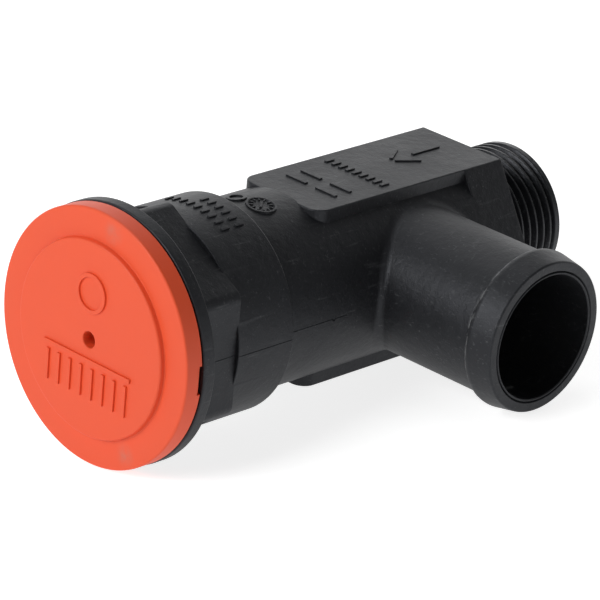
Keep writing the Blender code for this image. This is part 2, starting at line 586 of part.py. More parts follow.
def piston():
    disc_back = X_DISC - DISC_THICKNESS
    x_rim = X_DISC - DISC_PROUD
    recess_x = disc_back - GAP
    recess_r = DISC_R + GAP
    rim_r = recess_r + PISTON_RIM
    x_front_back = x_rim - PISTON_FRONT_LENGTH
    hole_r = SCREW_R + GAP
    hole_end = recess_x - SCREW_GRIP - GAP
    groove_r = PISTON_HEAD_R + SLIDE_GAP - O_RING_SECTION - GAP
    x_groove = X_HEAD - RING_GROOVE_START
    groove_end = x_groove - O_RING_SECTION - BACKUP_THICKNESS - 3 * GAP
    x_guide = groove_end - LAND_BETWEEN_GROOVES
    guide_end = x_guide - GUIDE_RING_WIDTH - 2 * GAP
    ring_outer = GUIDE_BORE_R - SLIDE_GAP
    guide_groove_r = ring_outer - GUIDE_RING_THICKNESS - GAP
    ring_inner = ring_outer - O_RING_SECTION
    outline = [
        (hole_end, 0.0),
        (hole_end, hole_r),
        (recess_x, hole_r),
        (recess_x, recess_r),
        (x_rim, recess_r),
        (x_rim, rim_r - GAP),
        (x_rim - GAP, rim_r),
        (x_front_back, rim_r),
        (x_front_back - (rim_r - PISTON_STEM_R) / PISTON_FRONT_SLOPE, PISTON_STEM_R),
        (X_HEAD, PISTON_STEM_R),
        (X_HEAD, PISTON_HEAD_R),
        (x_groove, PISTON_HEAD_R),
        (x_groove, ring_inner - GAP),
        (groove_end, ring_inner - GAP),
        (groove_end, PISTON_HEAD_R),
        (x_guide, PISTON_HEAD_R),
        (x_guide, guide_groove_r),
        (guide_end, guide_groove_r),
        (guide_end, PISTON_HEAD_R),
        (X_HEAD_BACK, PISTON_HEAD_R),
        (X_HEAD_BACK, PISTON_BOSS_R),
        (X_HEAD_BACK - PISTON_BOSS_LENGTH + GAP, PISTON_BOSS_R),
        (X_HEAD_BACK - PISTON_BOSS_LENGTH, PISTON_BOSS_R - GAP),
        (X_HEAD_BACK - PISTON_BOSS_LENGTH, 0.0),
    ]
    brass = material("brass_piston", (0.60, 0.42, 0.16), 0.32, 1.0)
    place("piston", turned(outline, ROUND_SMALL), brass, X_HEAD)

    disc_outline = [(X_DISC, hole_r), (X_DISC, DISC_R), (disc_back, DISC_R), (disc_back, hole_r)]
    rubber = material("sealing_rubber", (0.014, 0.014, 0.015), 0.65)
    place("sealing_disc", turned(disc_outline, ROUND_SMALL), rubber, X_DISC)

    x_washer = X_DISC + GAP
    washer_front = x_washer + WASHER_THICKNESS
    washer_outline = [
        (washer_front, hole_r), (washer_front, WASHER_R), (x_washer, WASHER_R), (x_washer, hole_r)]
    washer_look = material("washer_steel", (0.60, 0.60, 0.60), 0.3, 1.0)
    place("disc_washer", turned(washer_outline, ROUND_SMALL), washer_look, X_DISC)

    x_screw_head = washer_front + GAP
    screw_look = material("screw_steel", (0.55, 0.55, 0.56), 0.3, 1.0)
    shank_outline = [
        (x_screw_head + GAP, 0.0), (x_screw_head + GAP, SCREW_R),
        (recess_x - SCREW_GRIP + GAP, SCREW_R), (recess_x - SCREW_GRIP, SCREW_R - GAP),
        (recess_x - SCREW_GRIP, 0.0)]
    screw = place("disc_screw", turned(shank_outline, ROUND_SMALL), screw_look, X_DISC)
    head = tool("disc_screw_head", hexagon(
        SCREW_HEAD_FLATS, x_screw_head, x_screw_head + SCREW_HEAD_HEIGHT))
    combine(screw, "UNION", head)

    section_r = O_RING_SECTION / 2
    o_ring_x = x_groove - GAP - section_r
    ring = arc((o_ring_x, ring_outer - section_r), section_r, 0, 360 - 360 / RING_SIDES, RING_SIDES - 1)
    o_ring_look = material("nitrile_sliding", (0.010, 0.010, 0.011), 0.5)
    place("piston_o_ring", turned(ring, ROUND_SMALL), o_ring_look, X_HEAD)

    backup_front = x_groove - O_RING_SECTION - 2 * GAP
    backup_back = backup_front - BACKUP_THICKNESS
    backup_outline = [
        (backup_front, ring_inner), (backup_front, ring_outer),
        (backup_back, ring_outer), (backup_back, ring_inner)]
    white = material("backup_plastic", (0.78, 0.77, 0.72), 0.4)
    place("backup_ring", turned(backup_outline, ROUND_SMALL), white, X_HEAD)

    band_front = x_guide - GAP
    band_back = band_front - GUIDE_RING_WIDTH
    band_inner = ring_outer - GUIDE_RING_THICKNESS
    band_outline = [
        (band_front, band_inner), (band_front, ring_outer),
        (band_back, ring_outer), (band_back, band_inner)]
    bronze_filled = material("guide_plastic", (0.30, 0.20, 0.12), 0.5)
    band = place("guide_ring", turned(band_outline, ROUND_SMALL), bronze_filled, X_HEAD)
    slit = tool("guide_ring_slit", block(
        (band_back - GAP, -GUIDE_RING_SLIT / 2, band_inner / 2),
        (band_front + GAP, GUIDE_RING_SLIT / 2, ring_outer + GAP)))
    combine(band, "DIFFERENCE", slit)


def spring_plates():
    collar_r = SPRING_MEAN_R - WIRE_R - PLATE_COLLAR_CLEARANCE
    lower_back = X_LOWER_PLATE - LOWER_PLATE_THICKNESS
    hole_r = PISTON_BOSS_R + GAP
    lower_outline = [
        (X_LOWER_PLATE, hole_r),
        (X_LOWER_PLATE, PLATE_R),
        (lower_back, PLATE_R),
        (lower_back, collar_r),
        (lower_back - LOWER_PLATE_COLLAR + GAP, collar_r),
        (lower_back - LOWER_PLATE_COLLAR, collar_r - GAP),
        (lower_back - LOWER_PLATE_COLLAR, hole_r),
    ]
    steel = material("plate_steel_lower", (0.50, 0.50, 0.50), 0.38, 1.0)
    place("spring_plate_lower", turned(lower_outline, ROUND_SMALL), steel, X_LOWER_PLATE)

    upper_front = X_UPPER_PLATE + UPPER_PLATE_THICKNESS
    socket = arc((X_BALL, 0.0), BALL_R + GAP, 0, dimple_angle(), SOCKET_STEPS)
    upper_outline = [
        *socket,
        (X_UPPER_PLATE, PLATE_R),
        (upper_front, PLATE_R),
        (upper_front, collar_r),
        (upper_front + UPPER_PLATE_BOSS - GAP, collar_r),
        (upper_front + UPPER_PLATE_BOSS, collar_r - GAP),
        (upper_front + UPPER_PLATE_BOSS, 0.0),
    ]
    steel = material("plate_steel_upper", (0.50, 0.50, 0.50), 0.38, 1.0)
    place("spring_plate_upper", turned(upper_outline, ROUND_SMALL), steel, X_UPPER_PLATE)


def dimple_angle():
    """Where a ball's seat, one gap wider than the ball, meets the flat face beside it."""
    return math.degrees(math.acos((BALL_SPACE / 2) / (BALL_R + GAP)))


def spring():
    """Compression spring with closed ends, wound as one wire along a helix."""
    x_low = X_SPRING_LOW - WIRE_R
    x_high = X_SPRING_HIGH + WIRE_R
    end_pitch = 2 * WIRE_R + GAP
    active_rise = (x_low - x_high) - 2 * END_TURNS * end_pitch
    turns = 2 * END_TURNS + ACTIVE_TURNS
    count = round(turns * POINTS_PER_TURN)
    curve = bpy.data.curves.new("spring", "CURVE")
    curve.dimensions = "3D"
    curve.bevel_depth = WIRE_R
    curve.bevel_resolution = WIRE_SIDES_RESOLUTION
    curve.use_fill_caps = True
    line = curve.splines.new("POLY")
    line.points.add(count)
    for step, point in enumerate(line.points):
        turn = turns * step / count
        if turn < END_TURNS:
            rise = turn * end_pitch
        elif turn < END_TURNS + ACTIVE_TURNS:
            rise = END_TURNS * end_pitch + active_rise * (turn - END_TURNS) / ACTIVE_TURNS
        else:
            rise = END_TURNS * end_pitch + active_rise + (turn - END_TURNS - ACTIVE_TURNS) * end_pitch
        angle = 2 * math.pi * turn
        point.co = (-rise, SPRING_MEAN_R * math.cos(angle), SPRING_MEAN_R * math.sin(angle), 1.0)
    made = bpy.data.objects.new("spring", curve)
    made.location.x = x_low
    curve.materials.append(material("spring_steel", (0.42, 0.43, 0.45), 0.3, 1.0))
    bpy.context.scene.collection.objects.link(made)


def adjuster():
    ball_outline = arc((X_BALL, 0.0), BALL_R, 0, 180, BALL_STEPS)
    ball_outline[0] = (X_BALL + BALL_R, 0.0)
    ball_outline[-1] = (X_BALL - BALL_R, 0.0)
    chrome_steel = material("ball_steel", (0.66, 0.66, 0.68), 0.12, 1.0)
    place("thrust_ball", turned(ball_outline, BALL_TURN_STEPS), chrome_steel, X_BALL)

    x_end = X_BONNET_BACK - ADJUSTER_STAND_OUT
    socket = arc((X_BALL, 0.0), BALL_R + GAP, 180 - dimple_angle(), 180, SOCKET_STEPS)
    socket[-1] = (socket[-1][0], 0.0)
    outline = [
        *socket,
        (x_end, 0.0),
        (x_end, ADJUSTER_R - ADJUSTER_TIP_CHAMFER),
        (x_end + ADJUSTER_TIP_CHAMFER, ADJUSTER_R),
        (X_ADJUSTER_TIP - ADJUSTER_TIP_CHAMFER, ADJUSTER_R),
        (X_ADJUSTER_TIP, ADJUSTER_R - ADJUSTER_TIP_CHAMFER),
    ]
    look = material("adjuster_steel", (0.56, 0.55, 0.52), 0.3, 1.0)
    screw = place("adjuster_screw", turned(outline, ROUND_SMALL), look, X_ADJUSTER_TIP)
    key_socket = tool("adjuster_socket", hexagon(
        ADJUSTER_SOCKET_FLATS, x_end - GAP, x_end + ADJUSTER_SOCKET_DEPTH))
    combine(screw, "DIFFERENCE", key_socket)

    hole_r = ADJUSTER_R + GAP
    plate_r = BONNET_BORE_R - GAP
    outline = [
        (X_BONNET_FRONT, hole_r),
        (X_BONNET_FRONT, plate_r - GAP),
        (X_BONNET_FRONT - GAP, plate_r),
        (X_BONNET_BACK + GAP, plate_r),
        (X_BONNET_BACK, plate_r - GAP),
        (X_BONNET_BACK, hole_r),
    ]
    brass = material("brass_bonnet", (0.62, 0.44, 0.17), 0.34, 1.0)
    bonnet = place("bonnet_plate", turned(outline, ROUND_SMALL), brass)
    for number in range(PIN_HOLE_COUNT):
        turn = math.radians(45 + number * 360 / PIN_HOLE_COUNT)
        hole = tool(f"pin_hole_{number}", bar(
            X_BONNET_BACK + BONNET_THICKNESS / 2, PIN_HOLE_CIRCLE_R * math.cos(turn),
            PIN_HOLE_CIRCLE_R * math.sin(turn), PIN_HOLE_R, BONNET_THICKNESS * THROUGH,
            steps=PIN_HOLE_STEPS))
        combine(bonnet, "DIFFERENCE", hole)

    x_washer = X_BONNET_BACK - GAP
    washer_back = x_washer - LOCK_WASHER_THICKNESS
    outline = [
        (x_washer, hole_r), (x_washer, LOCK_WASHER_R), (washer_back, LOCK_WASHER_R), (washer_back, hole_r)]
    zinc = material("washer_zinc", (0.58, 0.58, 0.57), 0.36, 1.0)
    place("lock_washer", turned(outline, ROUND_SMALL), zinc, x_washer)

    x_nut = washer_back - GAP
    nut_look = material("nut_zinc", (0.60, 0.59, 0.56), 0.34, 1.0)
    nut = place("lock_nut", hexagon(LOCK_NUT_FLATS, x_nut - LOCK_NUT_HEIGHT, x_nut), nut_look, x_nut)
    nut_hole = tool("lock_nut_hole", bar(
        x_nut - LOCK_NUT_HEIGHT / 2, 0, 0, hole_r, LOCK_NUT_HEIGHT * THROUGH))
    combine(nut, "DIFFERENCE", nut_hole)


def rings():
    clip_steel = material("circlip_steel", (0.40, 0.40, 0.41), 0.35, 1.0)
    clip(
        "seat_circlip", X_CIRCLIP, CIRCLIP_THICKNESS, INLET_BORE_R + CIRCLIP_GROOVE_DEPTH - GAP,
        CIRCLIP_BAND, CIRCLIP_EAR, CIRCLIP_HOLE_R, CIRCLIP_GAP_DEG, clip_steel)
    ring_steel = material("retaining_steel", (0.38, 0.38, 0.39), 0.35, 1.0)
    clip(
        "retaining_ring", X_RING, RING_THICKNESS, BONNET_BORE_R + RING_GROOVE_DEPTH - GAP,
        RING_BAND, RING_EAR, RING_HOLE_R, RING_GAP_DEG, ring_steel)


clear_scene()
valve_body()
cap()
seat_ring()
rings()
piston()
spring_plates()
spring()
adjuster()
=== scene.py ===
"""Looks of a spring-loaded safety valve: moulded body, press-on cap and the turned pieces inside.

Units are metres and +Z is up. The inlet's seating face is at the origin, the thread points along +X,
the cap is at -X and the hose tail points along -Y.
"""
import json
import math

import bmesh
import bpy
from mathutils import Matrix, Vector

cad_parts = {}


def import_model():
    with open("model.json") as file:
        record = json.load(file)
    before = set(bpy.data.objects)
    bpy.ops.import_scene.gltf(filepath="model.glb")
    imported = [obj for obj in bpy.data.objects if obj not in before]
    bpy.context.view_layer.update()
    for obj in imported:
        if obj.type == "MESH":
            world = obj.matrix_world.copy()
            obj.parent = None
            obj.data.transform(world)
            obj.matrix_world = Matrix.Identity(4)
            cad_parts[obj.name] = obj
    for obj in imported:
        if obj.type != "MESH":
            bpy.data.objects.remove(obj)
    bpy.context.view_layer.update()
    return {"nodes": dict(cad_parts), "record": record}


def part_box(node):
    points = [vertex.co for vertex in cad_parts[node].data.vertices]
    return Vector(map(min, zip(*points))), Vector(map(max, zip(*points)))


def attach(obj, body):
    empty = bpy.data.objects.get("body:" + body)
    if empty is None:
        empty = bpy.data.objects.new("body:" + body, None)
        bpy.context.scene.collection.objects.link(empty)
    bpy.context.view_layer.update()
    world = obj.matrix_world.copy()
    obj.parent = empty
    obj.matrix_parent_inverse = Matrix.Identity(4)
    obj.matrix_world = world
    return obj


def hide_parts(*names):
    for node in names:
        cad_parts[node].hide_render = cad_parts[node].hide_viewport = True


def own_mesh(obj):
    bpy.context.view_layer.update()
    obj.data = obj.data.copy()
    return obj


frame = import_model()

# Clearances
GAP = 0.0003
MELT = 0.0006                    # overlap of two shapes that are moulded as one

# Inlet
THREAD_PITCH = 0.002309
THREAD_DEPTH = 0.00145
THREAD_CREST = 0.00042
THREAD_FOOT = 0.00190
THREAD_R = 0.01646
THREAD_LIP = 0.0016              # plain end of the thread
THREAD_LIP_EDGE = 0.0003
INLET_BORE_R = 0.0120
INLET_HEX_FLATS = 0.04126
INLET_HEX_LENGTH = 0.0120

# Barrel, pads and spring housing
GUIDE_BORE_R = 0.0179
BARREL_R = 0.02133
X_SHOULDER = -0.0749
PAD_LENGTH = 0.0459
PAD_CORNER_R = 0.0035
PAD_EDGE_R = 0.0006
HOUSING_R = 0.0241
X_HOUSING_END = -0.0910
HOUSING_HEX_FLATS = 0.0461
HOUSING_HEX_CORNER_R = 0.0016
X_FLANGE_BACK = -0.1022
FLANGE_CONE_LENGTH = 0.0044

# Hose tail
OUTLET_X = 0.0292
TAIL_R = 0.01663
TAIL_BORE_R = 0.0141
COLLAR_LENGTH = 0.0073
COLLAR_RISE = 0.0013             # at the crest that holds the hose
COLLAR_RAMP = 0.0014
COLLAR_TAPER = 0.0009            # from the crest down to the mouth
TAIL_LIP = 0.0005
MOUTH_GROOVE_R = 0.0145          # of the fine groove in the mouth's end face
MOUTH_GROOVE_WIDTH = 0.0005
MOUTH_GROOVE_DEPTH = 0.0005
MOUTH_CHAMFER = 0.0002
ROOT_FILLET = 0.0017

# Bores of the body
LIP_BORE_R = 0.0109
X_LIP_FRONT = -0.0095
X_LIP_BACK = -0.0125
HOUSING_BORE_R = 0.0200
X_HOUSING_BORE = -0.0775
BONNET_BORE_R = 0.0206
CLIP_GROOVE_DEPTH = 0.0009
RING_GROOVE_DEPTH = 0.0013

# Cap
CAP_WALL = 0.00245
CAP_EDGE_R = 0.0005
CAP_DISC_R = 0.02185
CAP_DISC_DRAFT = 0.0002
CAP_DISC_RISE = 0.0012
CAP_SPIGOT_WALL = 0.0017
CAP_VENT_R = 0.0018
CAP_NOTCH_WIDTH = 0.0064
CAP_NOTCH_DEPTH = 0.0010
CAP_NOTCH_HEIGHT = 0.0011

# Facets of the fine surfaces
TURN_STEPS = 144
SMALL_STEPS = 96
SHARP_ANGLE = math.radians(32.0)

# Traces of the mould on the body's side
LINE_WIDTH = 0.00016
LINE_DEPTH = 0.00014
X_LINE_START = -0.0975
X_LINE_END = -0.0560
X_GATE = -0.0600
GATE_R = 0.0006

# Raised marks, which are generic: plain bars, a tick dial and a flow arrow
MARK_RISE = 0.00035
MARK_EDGE = 0.00008
CAP_MARK_RISE = 0.00045
CAP_BAR_COUNT = 8
CAP_BAR_PITCH = 0.0034
CAP_BAR_SIZE = (0.0009, 0.0070)
CAP_BARS_Z = -0.0095
CAP_LINE_Z = -0.0045
CAP_RING_Z = 0.0105
CAP_RING_R = 0.0040
ARROW_Y = 0.0010
ARROW_LINE = 0.0008
ARROW_SHAFT = (-0.0110, 0.0085)
ARROW_TIP_X = -0.0225
ARROW_SPREAD = math.radians(32.0)
PAD_BAR_COUNT = 9
PAD_BAR_PITCH = 0.0021
PAD_BARS_X = -0.0340
CROSS_BAR_X = (-0.0480, -0.0435)
CROSS_BAR_Y = (-0.0045, 0.0045)
HOUSING_BAR_ROWS = ((-0.0835, 9), (-0.0795, 6))
HOUSING_BAR_START_DEG = 24.0
HOUSING_BAR_STEP_DEG = 5.2
DIAL_PLACE = (-0.0662, -0.0030)
DIAL_R = 0.0034
DIAL_TICKS = 12
RING_MARK_PLACE = (-0.0678, 0.0030)
RING_MARK_R = 0.0023

# Spring and adjuster
SPRING_MEAN_R = 0.0132
WIRE_R = 0.0017
END_TURNS = 1.0
ACTIVE_TURNS = 2.8
FINE_PITCH = 0.0015
FINE_THREAD_DEPTH = 0.0009
ADJUSTER_KEY_FLATS = 0.0060
ADJUSTER_KEY_DEPTH = 0.0060
LOCK_NUT_FLATS = 0.0190
NUT_CHAMFER = 0.0008
PIN_HOLE_COUNT = 4
PIN_HOLE_R = 0.0018
PIN_HOLE_CIRCLE_R = 0.0146

# Places that the frame gives
X_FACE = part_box("valve_body")[0].x
X_THREAD_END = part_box("valve_body")[1].x
TAIL_REACH = -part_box("valve_body")[0].y
FLANGE_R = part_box("valve_body")[1].z
CAP_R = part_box("cap")[1].z
X_CAP_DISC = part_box("cap")[0].x
X_CAP_FRONT = X_CAP_DISC + CAP_DISC_RISE
X_CAP_BACK = X_FACE - GAP
X_CAP_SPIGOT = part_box("cap")[1].x

# Colours of the two mouldings
NYLON_DARK = (0.0055, 0.0058, 0.0070, 1.0)
NYLON_PALE = (0.0100, 0.0104, 0.0120, 1.0)
NYLON_SPECK = (0.120, 0.124, 0.128, 1.0)
# Pale grey of the painted highlight on the crease of the hose tail's collar
NYLON_PAINTED_HIGHLIGHT = (0.240, 0.246, 0.250, 1.0)
ORANGE_DARK = (0.740, 0.075, 0.020, 1.0)
ORANGE_PALE = (0.800, 0.088, 0.025, 1.0)
ORANGE_SMUDGED = (0.36, 0.21, 0.17, 1.0)

# Handling smudges on the cap, and a painted highlight: a pale band along the crease where the hose tail's
# collar starts
CAP_SMUDGES = ((-0.1098, -0.0040, 0.0250), (-0.1098, -0.0120, -0.0220))
SMUDGE_R = 0.0035
CREASE_HIGHLIGHT_WIDTH = 0.0011
Y_CREASE = -(TAIL_REACH - COLLAR_LENGTH + 0.0004)

# The photograph's camera, as solved from the object's own circles and edges
IMAGE_SIDE_PX = 600
FOCAL_PX = 3856.17
AZIMUTH_DEG = -46.867
ELEVATION_DEG = 22.94
ROLL_DEG = 5.156
AIM_RIGHT = 0.014043
AIM_UP = 0.009884
DISTANCE = 0.85366
AXES_MEET = Vector((-OUTLET_X, 0.0, 0.0))
SENSOR_MM = 36.0

# Floor and surroundings
FLOOR_R = 3.0
FLOOR_GAP = 0.0002
FLOOR_GLOW = 0.80
FLOOR_BOUNCE = 0.62
ROOM_FRONT = 0.03
ROOM_HIGH = 0.30
ROOM_LEVEL = 1.6
LAMPS = (
    ("key_from_cap_side", (-0.85, 0.20, 0.45), 0.50, 6.0),
    ("fill_from_outlet_side", (-0.15, -0.80, 0.35), 0.50, 0.6),
    ("soft_top", (0.05, 0.35, 0.80), 0.60, 1.5),
)


class Socket:
    """An output of a finish's nodes. Arithmetic on it adds Math nodes."""

    def __init__(self, finish, output):
        self.finish = finish
        self.output = output

    def math(self, operation, *values):
        inputs = dict(enumerate(values))
        return self.finish.node("Math", {"operation": operation}, inputs)

    def __add__(self, other):
        return self.math("ADD", self, other)

    def __radd__(self, other):
        return self.math("ADD", other, self)

    def __sub__(self, other):
        return self.math("SUBTRACT", self, other)

    def __rsub__(self, other):
        return self.math("SUBTRACT", other, self)

    def __mul__(self, other):
        return self.math("MULTIPLY", self, other)

    def __rmul__(self, other):
        return self.math("MULTIPLY", other, self)

    def size(self):
        return self.math("ABSOLUTE", self)

    def over(self, other):
        return self.math("GREATER_THAN", self, other)


class Nodes:
    """A node tree that is built up node by node."""

    def __init__(self, tree):
        self.tree = tree

    def node(self, kind, settings, inputs, output=0):
        made = self.tree.nodes.new("ShaderNode" + kind)
        for name, value in settings.items():
            if name == "stops":
                self.set_stops(made.color_ramp, value)
            else:
                setattr(made, name, value)
        for name, value in inputs.items():
            self.join(made.inputs[name], value)
        return Socket(self, made.outputs[output])

    def set_stops(self, ramp, stops):
        while len(ramp.elements) < len(stops):
            ramp.elements.new(0.5)
        for element, (position, grey) in zip(ramp.elements, stops):
            element.position = position
            element.color = (grey, grey, grey, 1.0)

    def join(self, target, value):
        if isinstance(value, Socket):
            self.tree.links.new(value.output, target)
        else:
            target.default_value = value

    def ramp(self, value, *stops):
        return self.node("ValToRGB", {"stops": stops}, {0: value})


class Finish(Nodes):
    """A material on the Principled shader."""

    def __init__(self, name, **constants):
        self.material = bpy.data.materials.new(name)
        self.material.use_nodes = True
        super().__init__(self.material.node_tree)
        self.shader = self.tree.nodes["Principled BSDF"]
        for socket, value in constants.items():
            self.shader.inputs[socket.replace("_", " ")].default_value = value

    def feed(self, socket, value):
        self.join(self.shader.inputs[socket], value)

    def place(self, scale=(1.0, 1.0, 1.0), turn=(0.0, 0.0, 0.0)):
        """Object coordinates, stretched and turned."""
        coords = self.node("TexCoord", {}, {}, "Object")
        return self.node("Mapping", {}, {"Vector": coords, "Scale": scale, "Rotation": turn})

    def noise(self, where, scale, detail=3.0, roughness=0.55):
        return self.node(
            "TexNoise", {}, {"Vector": where, "Scale": scale, "Detail": detail, "Roughness": roughness})

    def part(self, vector, letter):
        return self.node("SeparateXYZ", {}, {"Vector": vector}, letter)

    def blend(self, share, low, high):
        """A colour between low and high."""
        return self.node("Mix", {"data_type": "RGBA"}, {0: share, 6: low, 7: high}, 2)

    def bump(self, height, distance, strength=1.0):
        normal = self.node("Bump", {}, {"Height": height, "Distance": distance, "Strength": strength})
        self.feed("Normal", normal)


def grey(value, alpha=1.0):
    return (value, value, value, alpha)


def black_nylon(name):
    """Glass-filled nylon: near black, satin, with pale fibre specks, faint flow marks, handling scuffs and a
    painted highlight along the crease of the hose tail's collar.
    """
    made = Finish(name, Specular_IOR_Level=0.46)
    made.feed("Specular Tint", (0.90, 0.93, 1.0, 1.0))
    where = made.place()
    cloud = made.noise(where, 55.0, 4.0)
    dents = made.noise(where, 420.0, 3.0, 0.6)
    fibre = made.noise(made.place((1.0, 0.35, 0.8), (0.3, 0.2, 0.6)), 1900.0, 2.0, 0.7)
    speck = made.ramp(fibre, (0.60, 0.0), (0.73, 1.0))
    patch = made.ramp(made.noise(where, 130.0, 2.0), (0.40, 0.25), (0.64, 1.0))
    scuff = made.ramp(
        made.noise(made.place((0.12, 1.0, 1.0), (0.5, 0.9, 0.35)), 900.0, 2.0), (0.64, 0.0), (0.75, 1.0))
    # Painted highlight: a pale band along the collar's crease, mottled by the dents and laid only on the
    # cap's side of the tail
    crease = made.node(
        "MapRange", {"interpolation_type": "SMOOTHSTEP"},
        {"Value": (made.part(where, "Y") - Y_CREASE).size(),
         "From Min": CREASE_HIGHLIGHT_WIDTH, "From Max": 0.0, "To Min": 0.0, "To Max": 1.0})
    cap_side = (0.0 - made.part(where, "X")).over(OUTLET_X)
    crease_highlight = crease * made.ramp(dents, (0.46, 0.0), (0.60, 1.0)) * cap_side
    worn = speck * patch * 0.40 + scuff * patch * 0.30
    base = made.blend(cloud, NYLON_DARK, NYLON_PALE)
    marked = made.blend(worn, base, NYLON_SPECK)
    made.feed("Base Color", made.blend(crease_highlight * 0.8, marked, NYLON_PAINTED_HIGHLIGHT))
    on_thread = made.part(where, "X").over(GAP)
    made.feed("Roughness", 0.37 + 0.18 * cloud + 0.10 * fibre - on_thread * 0.14)
    grain = made.noise(where, 2600.0, 3.0, 0.6)
    made.bump(grain * 0.35 + fibre * 0.25 + dents * 1.6 + cloud * 2.0, 0.00009)
    return made.material


def orange_plastic(name):
    """Orange moulded cap: satin, slightly uneven, with two grey handling smudges on its flat edge."""
    made = Finish(name, Specular_IOR_Level=0.42)
    where = made.place()
    cloud = made.noise(where, 48.0, 3.0)
    smudges = 0.0
    for centre in CAP_SMUDGES:
        distance = made.node("VectorMath", {"operation": "DISTANCE"}, {0: where, 1: centre}, "Value")
        near = made.node(
            "MapRange", {"interpolation_type": "SMOOTHSTEP"},
            {"Value": distance, "From Min": SMUDGE_R, "From Max": 0.0, "To Min": 0.0, "To Max": 1.0})
        smudges = smudges + near
    worn = smudges * made.ramp(made.noise(where, 300.0, 3.0), (0.35, 0.2), (0.65, 1.0)) * 0.42
    base = made.blend(cloud, ORANGE_DARK, ORANGE_PALE)
    made.feed("Base Color", made.blend(worn, base, ORANGE_SMUDGED))
    grain = made.noise(where, 2400.0, 3.0, 0.6)
    made.feed("Roughness", 0.40 + 0.12 * cloud + 0.1 * grain)
    made.bump(grain + cloud * 2.0, 0.00002)
    return made.material


def turned_metal(name, colour, roughness, rings=3200.0):
    """Machined metal: fine rings about the main axis, a little uneven in tone."""
    made = Finish(name, Metallic=1.0)
    where = made.place()
    axis = made.node("SeparateXYZ", {}, {"Vector": where}, "X")
    across = made.node("VectorMath", {"operation": "MULTIPLY"}, {0: where, 1: (0.0, 1.0, 1.0)}, "Vector")
    radius = made.node("VectorMath", {"operation": "LENGTH"}, {0: across}, "Value")
    path = made.node("CombineXYZ", {}, {"X": axis, "Y": radius, "Z": 0.0})
    ring = made.noise(path, rings, 2.0, 0.7)
    cloud = made.noise(where, 240.0, 3.0)
    dark = tuple(0.72 * part for part in colour)
    made.feed("Base Color", made.blend(cloud * 0.6 + ring * 0.3, (*dark, 1.0), (*colour, 1.0)))
    made.feed("Roughness", roughness + 0.12 * ring + 0.08 * cloud)
    made.bump(ring, 0.00002)
    return made.material


def plated_metal(name, colour, roughness):
    """Pressed or wire-drawn steel with a thin, faintly mottled coating."""
    made = Finish(name, Metallic=1.0)
    where = made.place()
    mottle = made.noise(where, 700.0, 4.0, 0.65)
    cloud = made.noise(where, 150.0, 3.0)
    dark = tuple(0.65 * part for part in colour)
    made.feed("Base Color", made.blend(mottle * 0.5 + cloud * 0.5, (*dark, 1.0), (*colour, 1.0)))
    made.feed("Roughness", roughness + 0.18 * mottle)
    made.bump(mottle, 0.00002)
    return made.material


def rubber(name, tone, roughness):
    """Nitrile rubber: matte, with a faint bloom."""
    made = Finish(name, Specular_IOR_Level=0.35)
    where = made.place()
    bloom = made.noise(where, 420.0, 4.0)
    made.feed("Base Color", made.blend(bloom, grey(tone), grey(tone * 2.2)))
    made.feed("Roughness", roughness + 0.15 * bloom)
    made.bump(made.noise(where, 3000.0, 2.0), 0.00002)
    return made.material


def ring_plastic(name, colour):
    """Turned bearing plastic: waxy, with fine tool rings."""
    made = Finish(name, Specular_IOR_Level=0.45)
    where = made.place()
    axis = made.node("SeparateXYZ", {}, {"Vector": where}, "X")
    path = made.node("CombineXYZ", {}, {"X": axis, "Y": 0.0, "Z": 0.0})
    ring = made.noise(path, 3600.0, 2.0)
    cloud = made.noise(where, 260.0, 3.0)
    pale = tuple(min(1.0, 1.15 * part) for part in colour)
    made.feed("Base Color", made.blend(cloud, (*colour, 1.0), (*pale, 1.0)))
    made.feed("Roughness", 0.34 + 0.16 * cloud)
    made.bump(ring, 0.00001)
    return made.material


def rounded(corners, steps=4):
    """Points of an outline whose corners are given as (x, radius) or as (x, radius, rounding)."""
    points = []
    count = len(corners)
    for number, corner in enumerate(corners):
        here = Vector(corner[:2])
        turn_r = corner[2] if len(corner) > 2 else 0.0
        if not turn_r:
            points.append(tuple(here))
            continue
        back = Vector(corners[number - 1][:2]) - here
        ahead = Vector(corners[(number + 1) % count][:2]) - here
        half = back.angle(ahead) / 2
        reach = min(turn_r / math.tan(half), 0.49 * back.length, 0.49 * ahead.length)
        start = here + back.normalized() * reach
        end = here + ahead.normalized() * reach
        middle = here + (back.normalized() + ahead.normalized()).normalized() * (reach / math.cos(half))
        low = start - middle
        high = end - middle
        sweep = low.angle_signed(high)
        for step in range(steps + 1):
            points.append(tuple(middle + Matrix.Rotation(-sweep * step / steps, 2) @ low))
    return points


def turned(outline, steps=SMALL_STEPS):
    """Turn a closed outline of (x, radius) points about the X axis."""
    bm = bmesh.new()
    verts = [bm.verts.new((x, 0.0, radius)) for x, radius in outline]
    edges = []
    for start, end in zip(verts, verts[1:] + verts[:1]):
        on_axis = start.co.z == 0.0 and end.co.z == 0.0
        if not on_axis:
            edges.append(bm.edges.new((start, end)))
    bmesh.ops.spin(
        bm, geom=verts + edges, cent=(0, 0, 0), axis=(1, 0, 0), dvec=(0, 0, 0),
        angle=2 * math.pi, steps=steps, use_merge=True)
    bmesh.ops.remove_doubles(bm, verts=bm.verts, dist=1e-6)
    bmesh.ops.recalc_face_normals(bm, faces=bm.faces)
    return bm


def arc(centre, radius, start_deg, end_deg, count):
    points = []
    for step in range(count + 1):
        angle = math.radians(start_deg + (end_deg - start_deg) * step / count)
        points.append((centre[0] + radius * math.cos(angle), centre[1] + radius * math.sin(angle)))
    return points


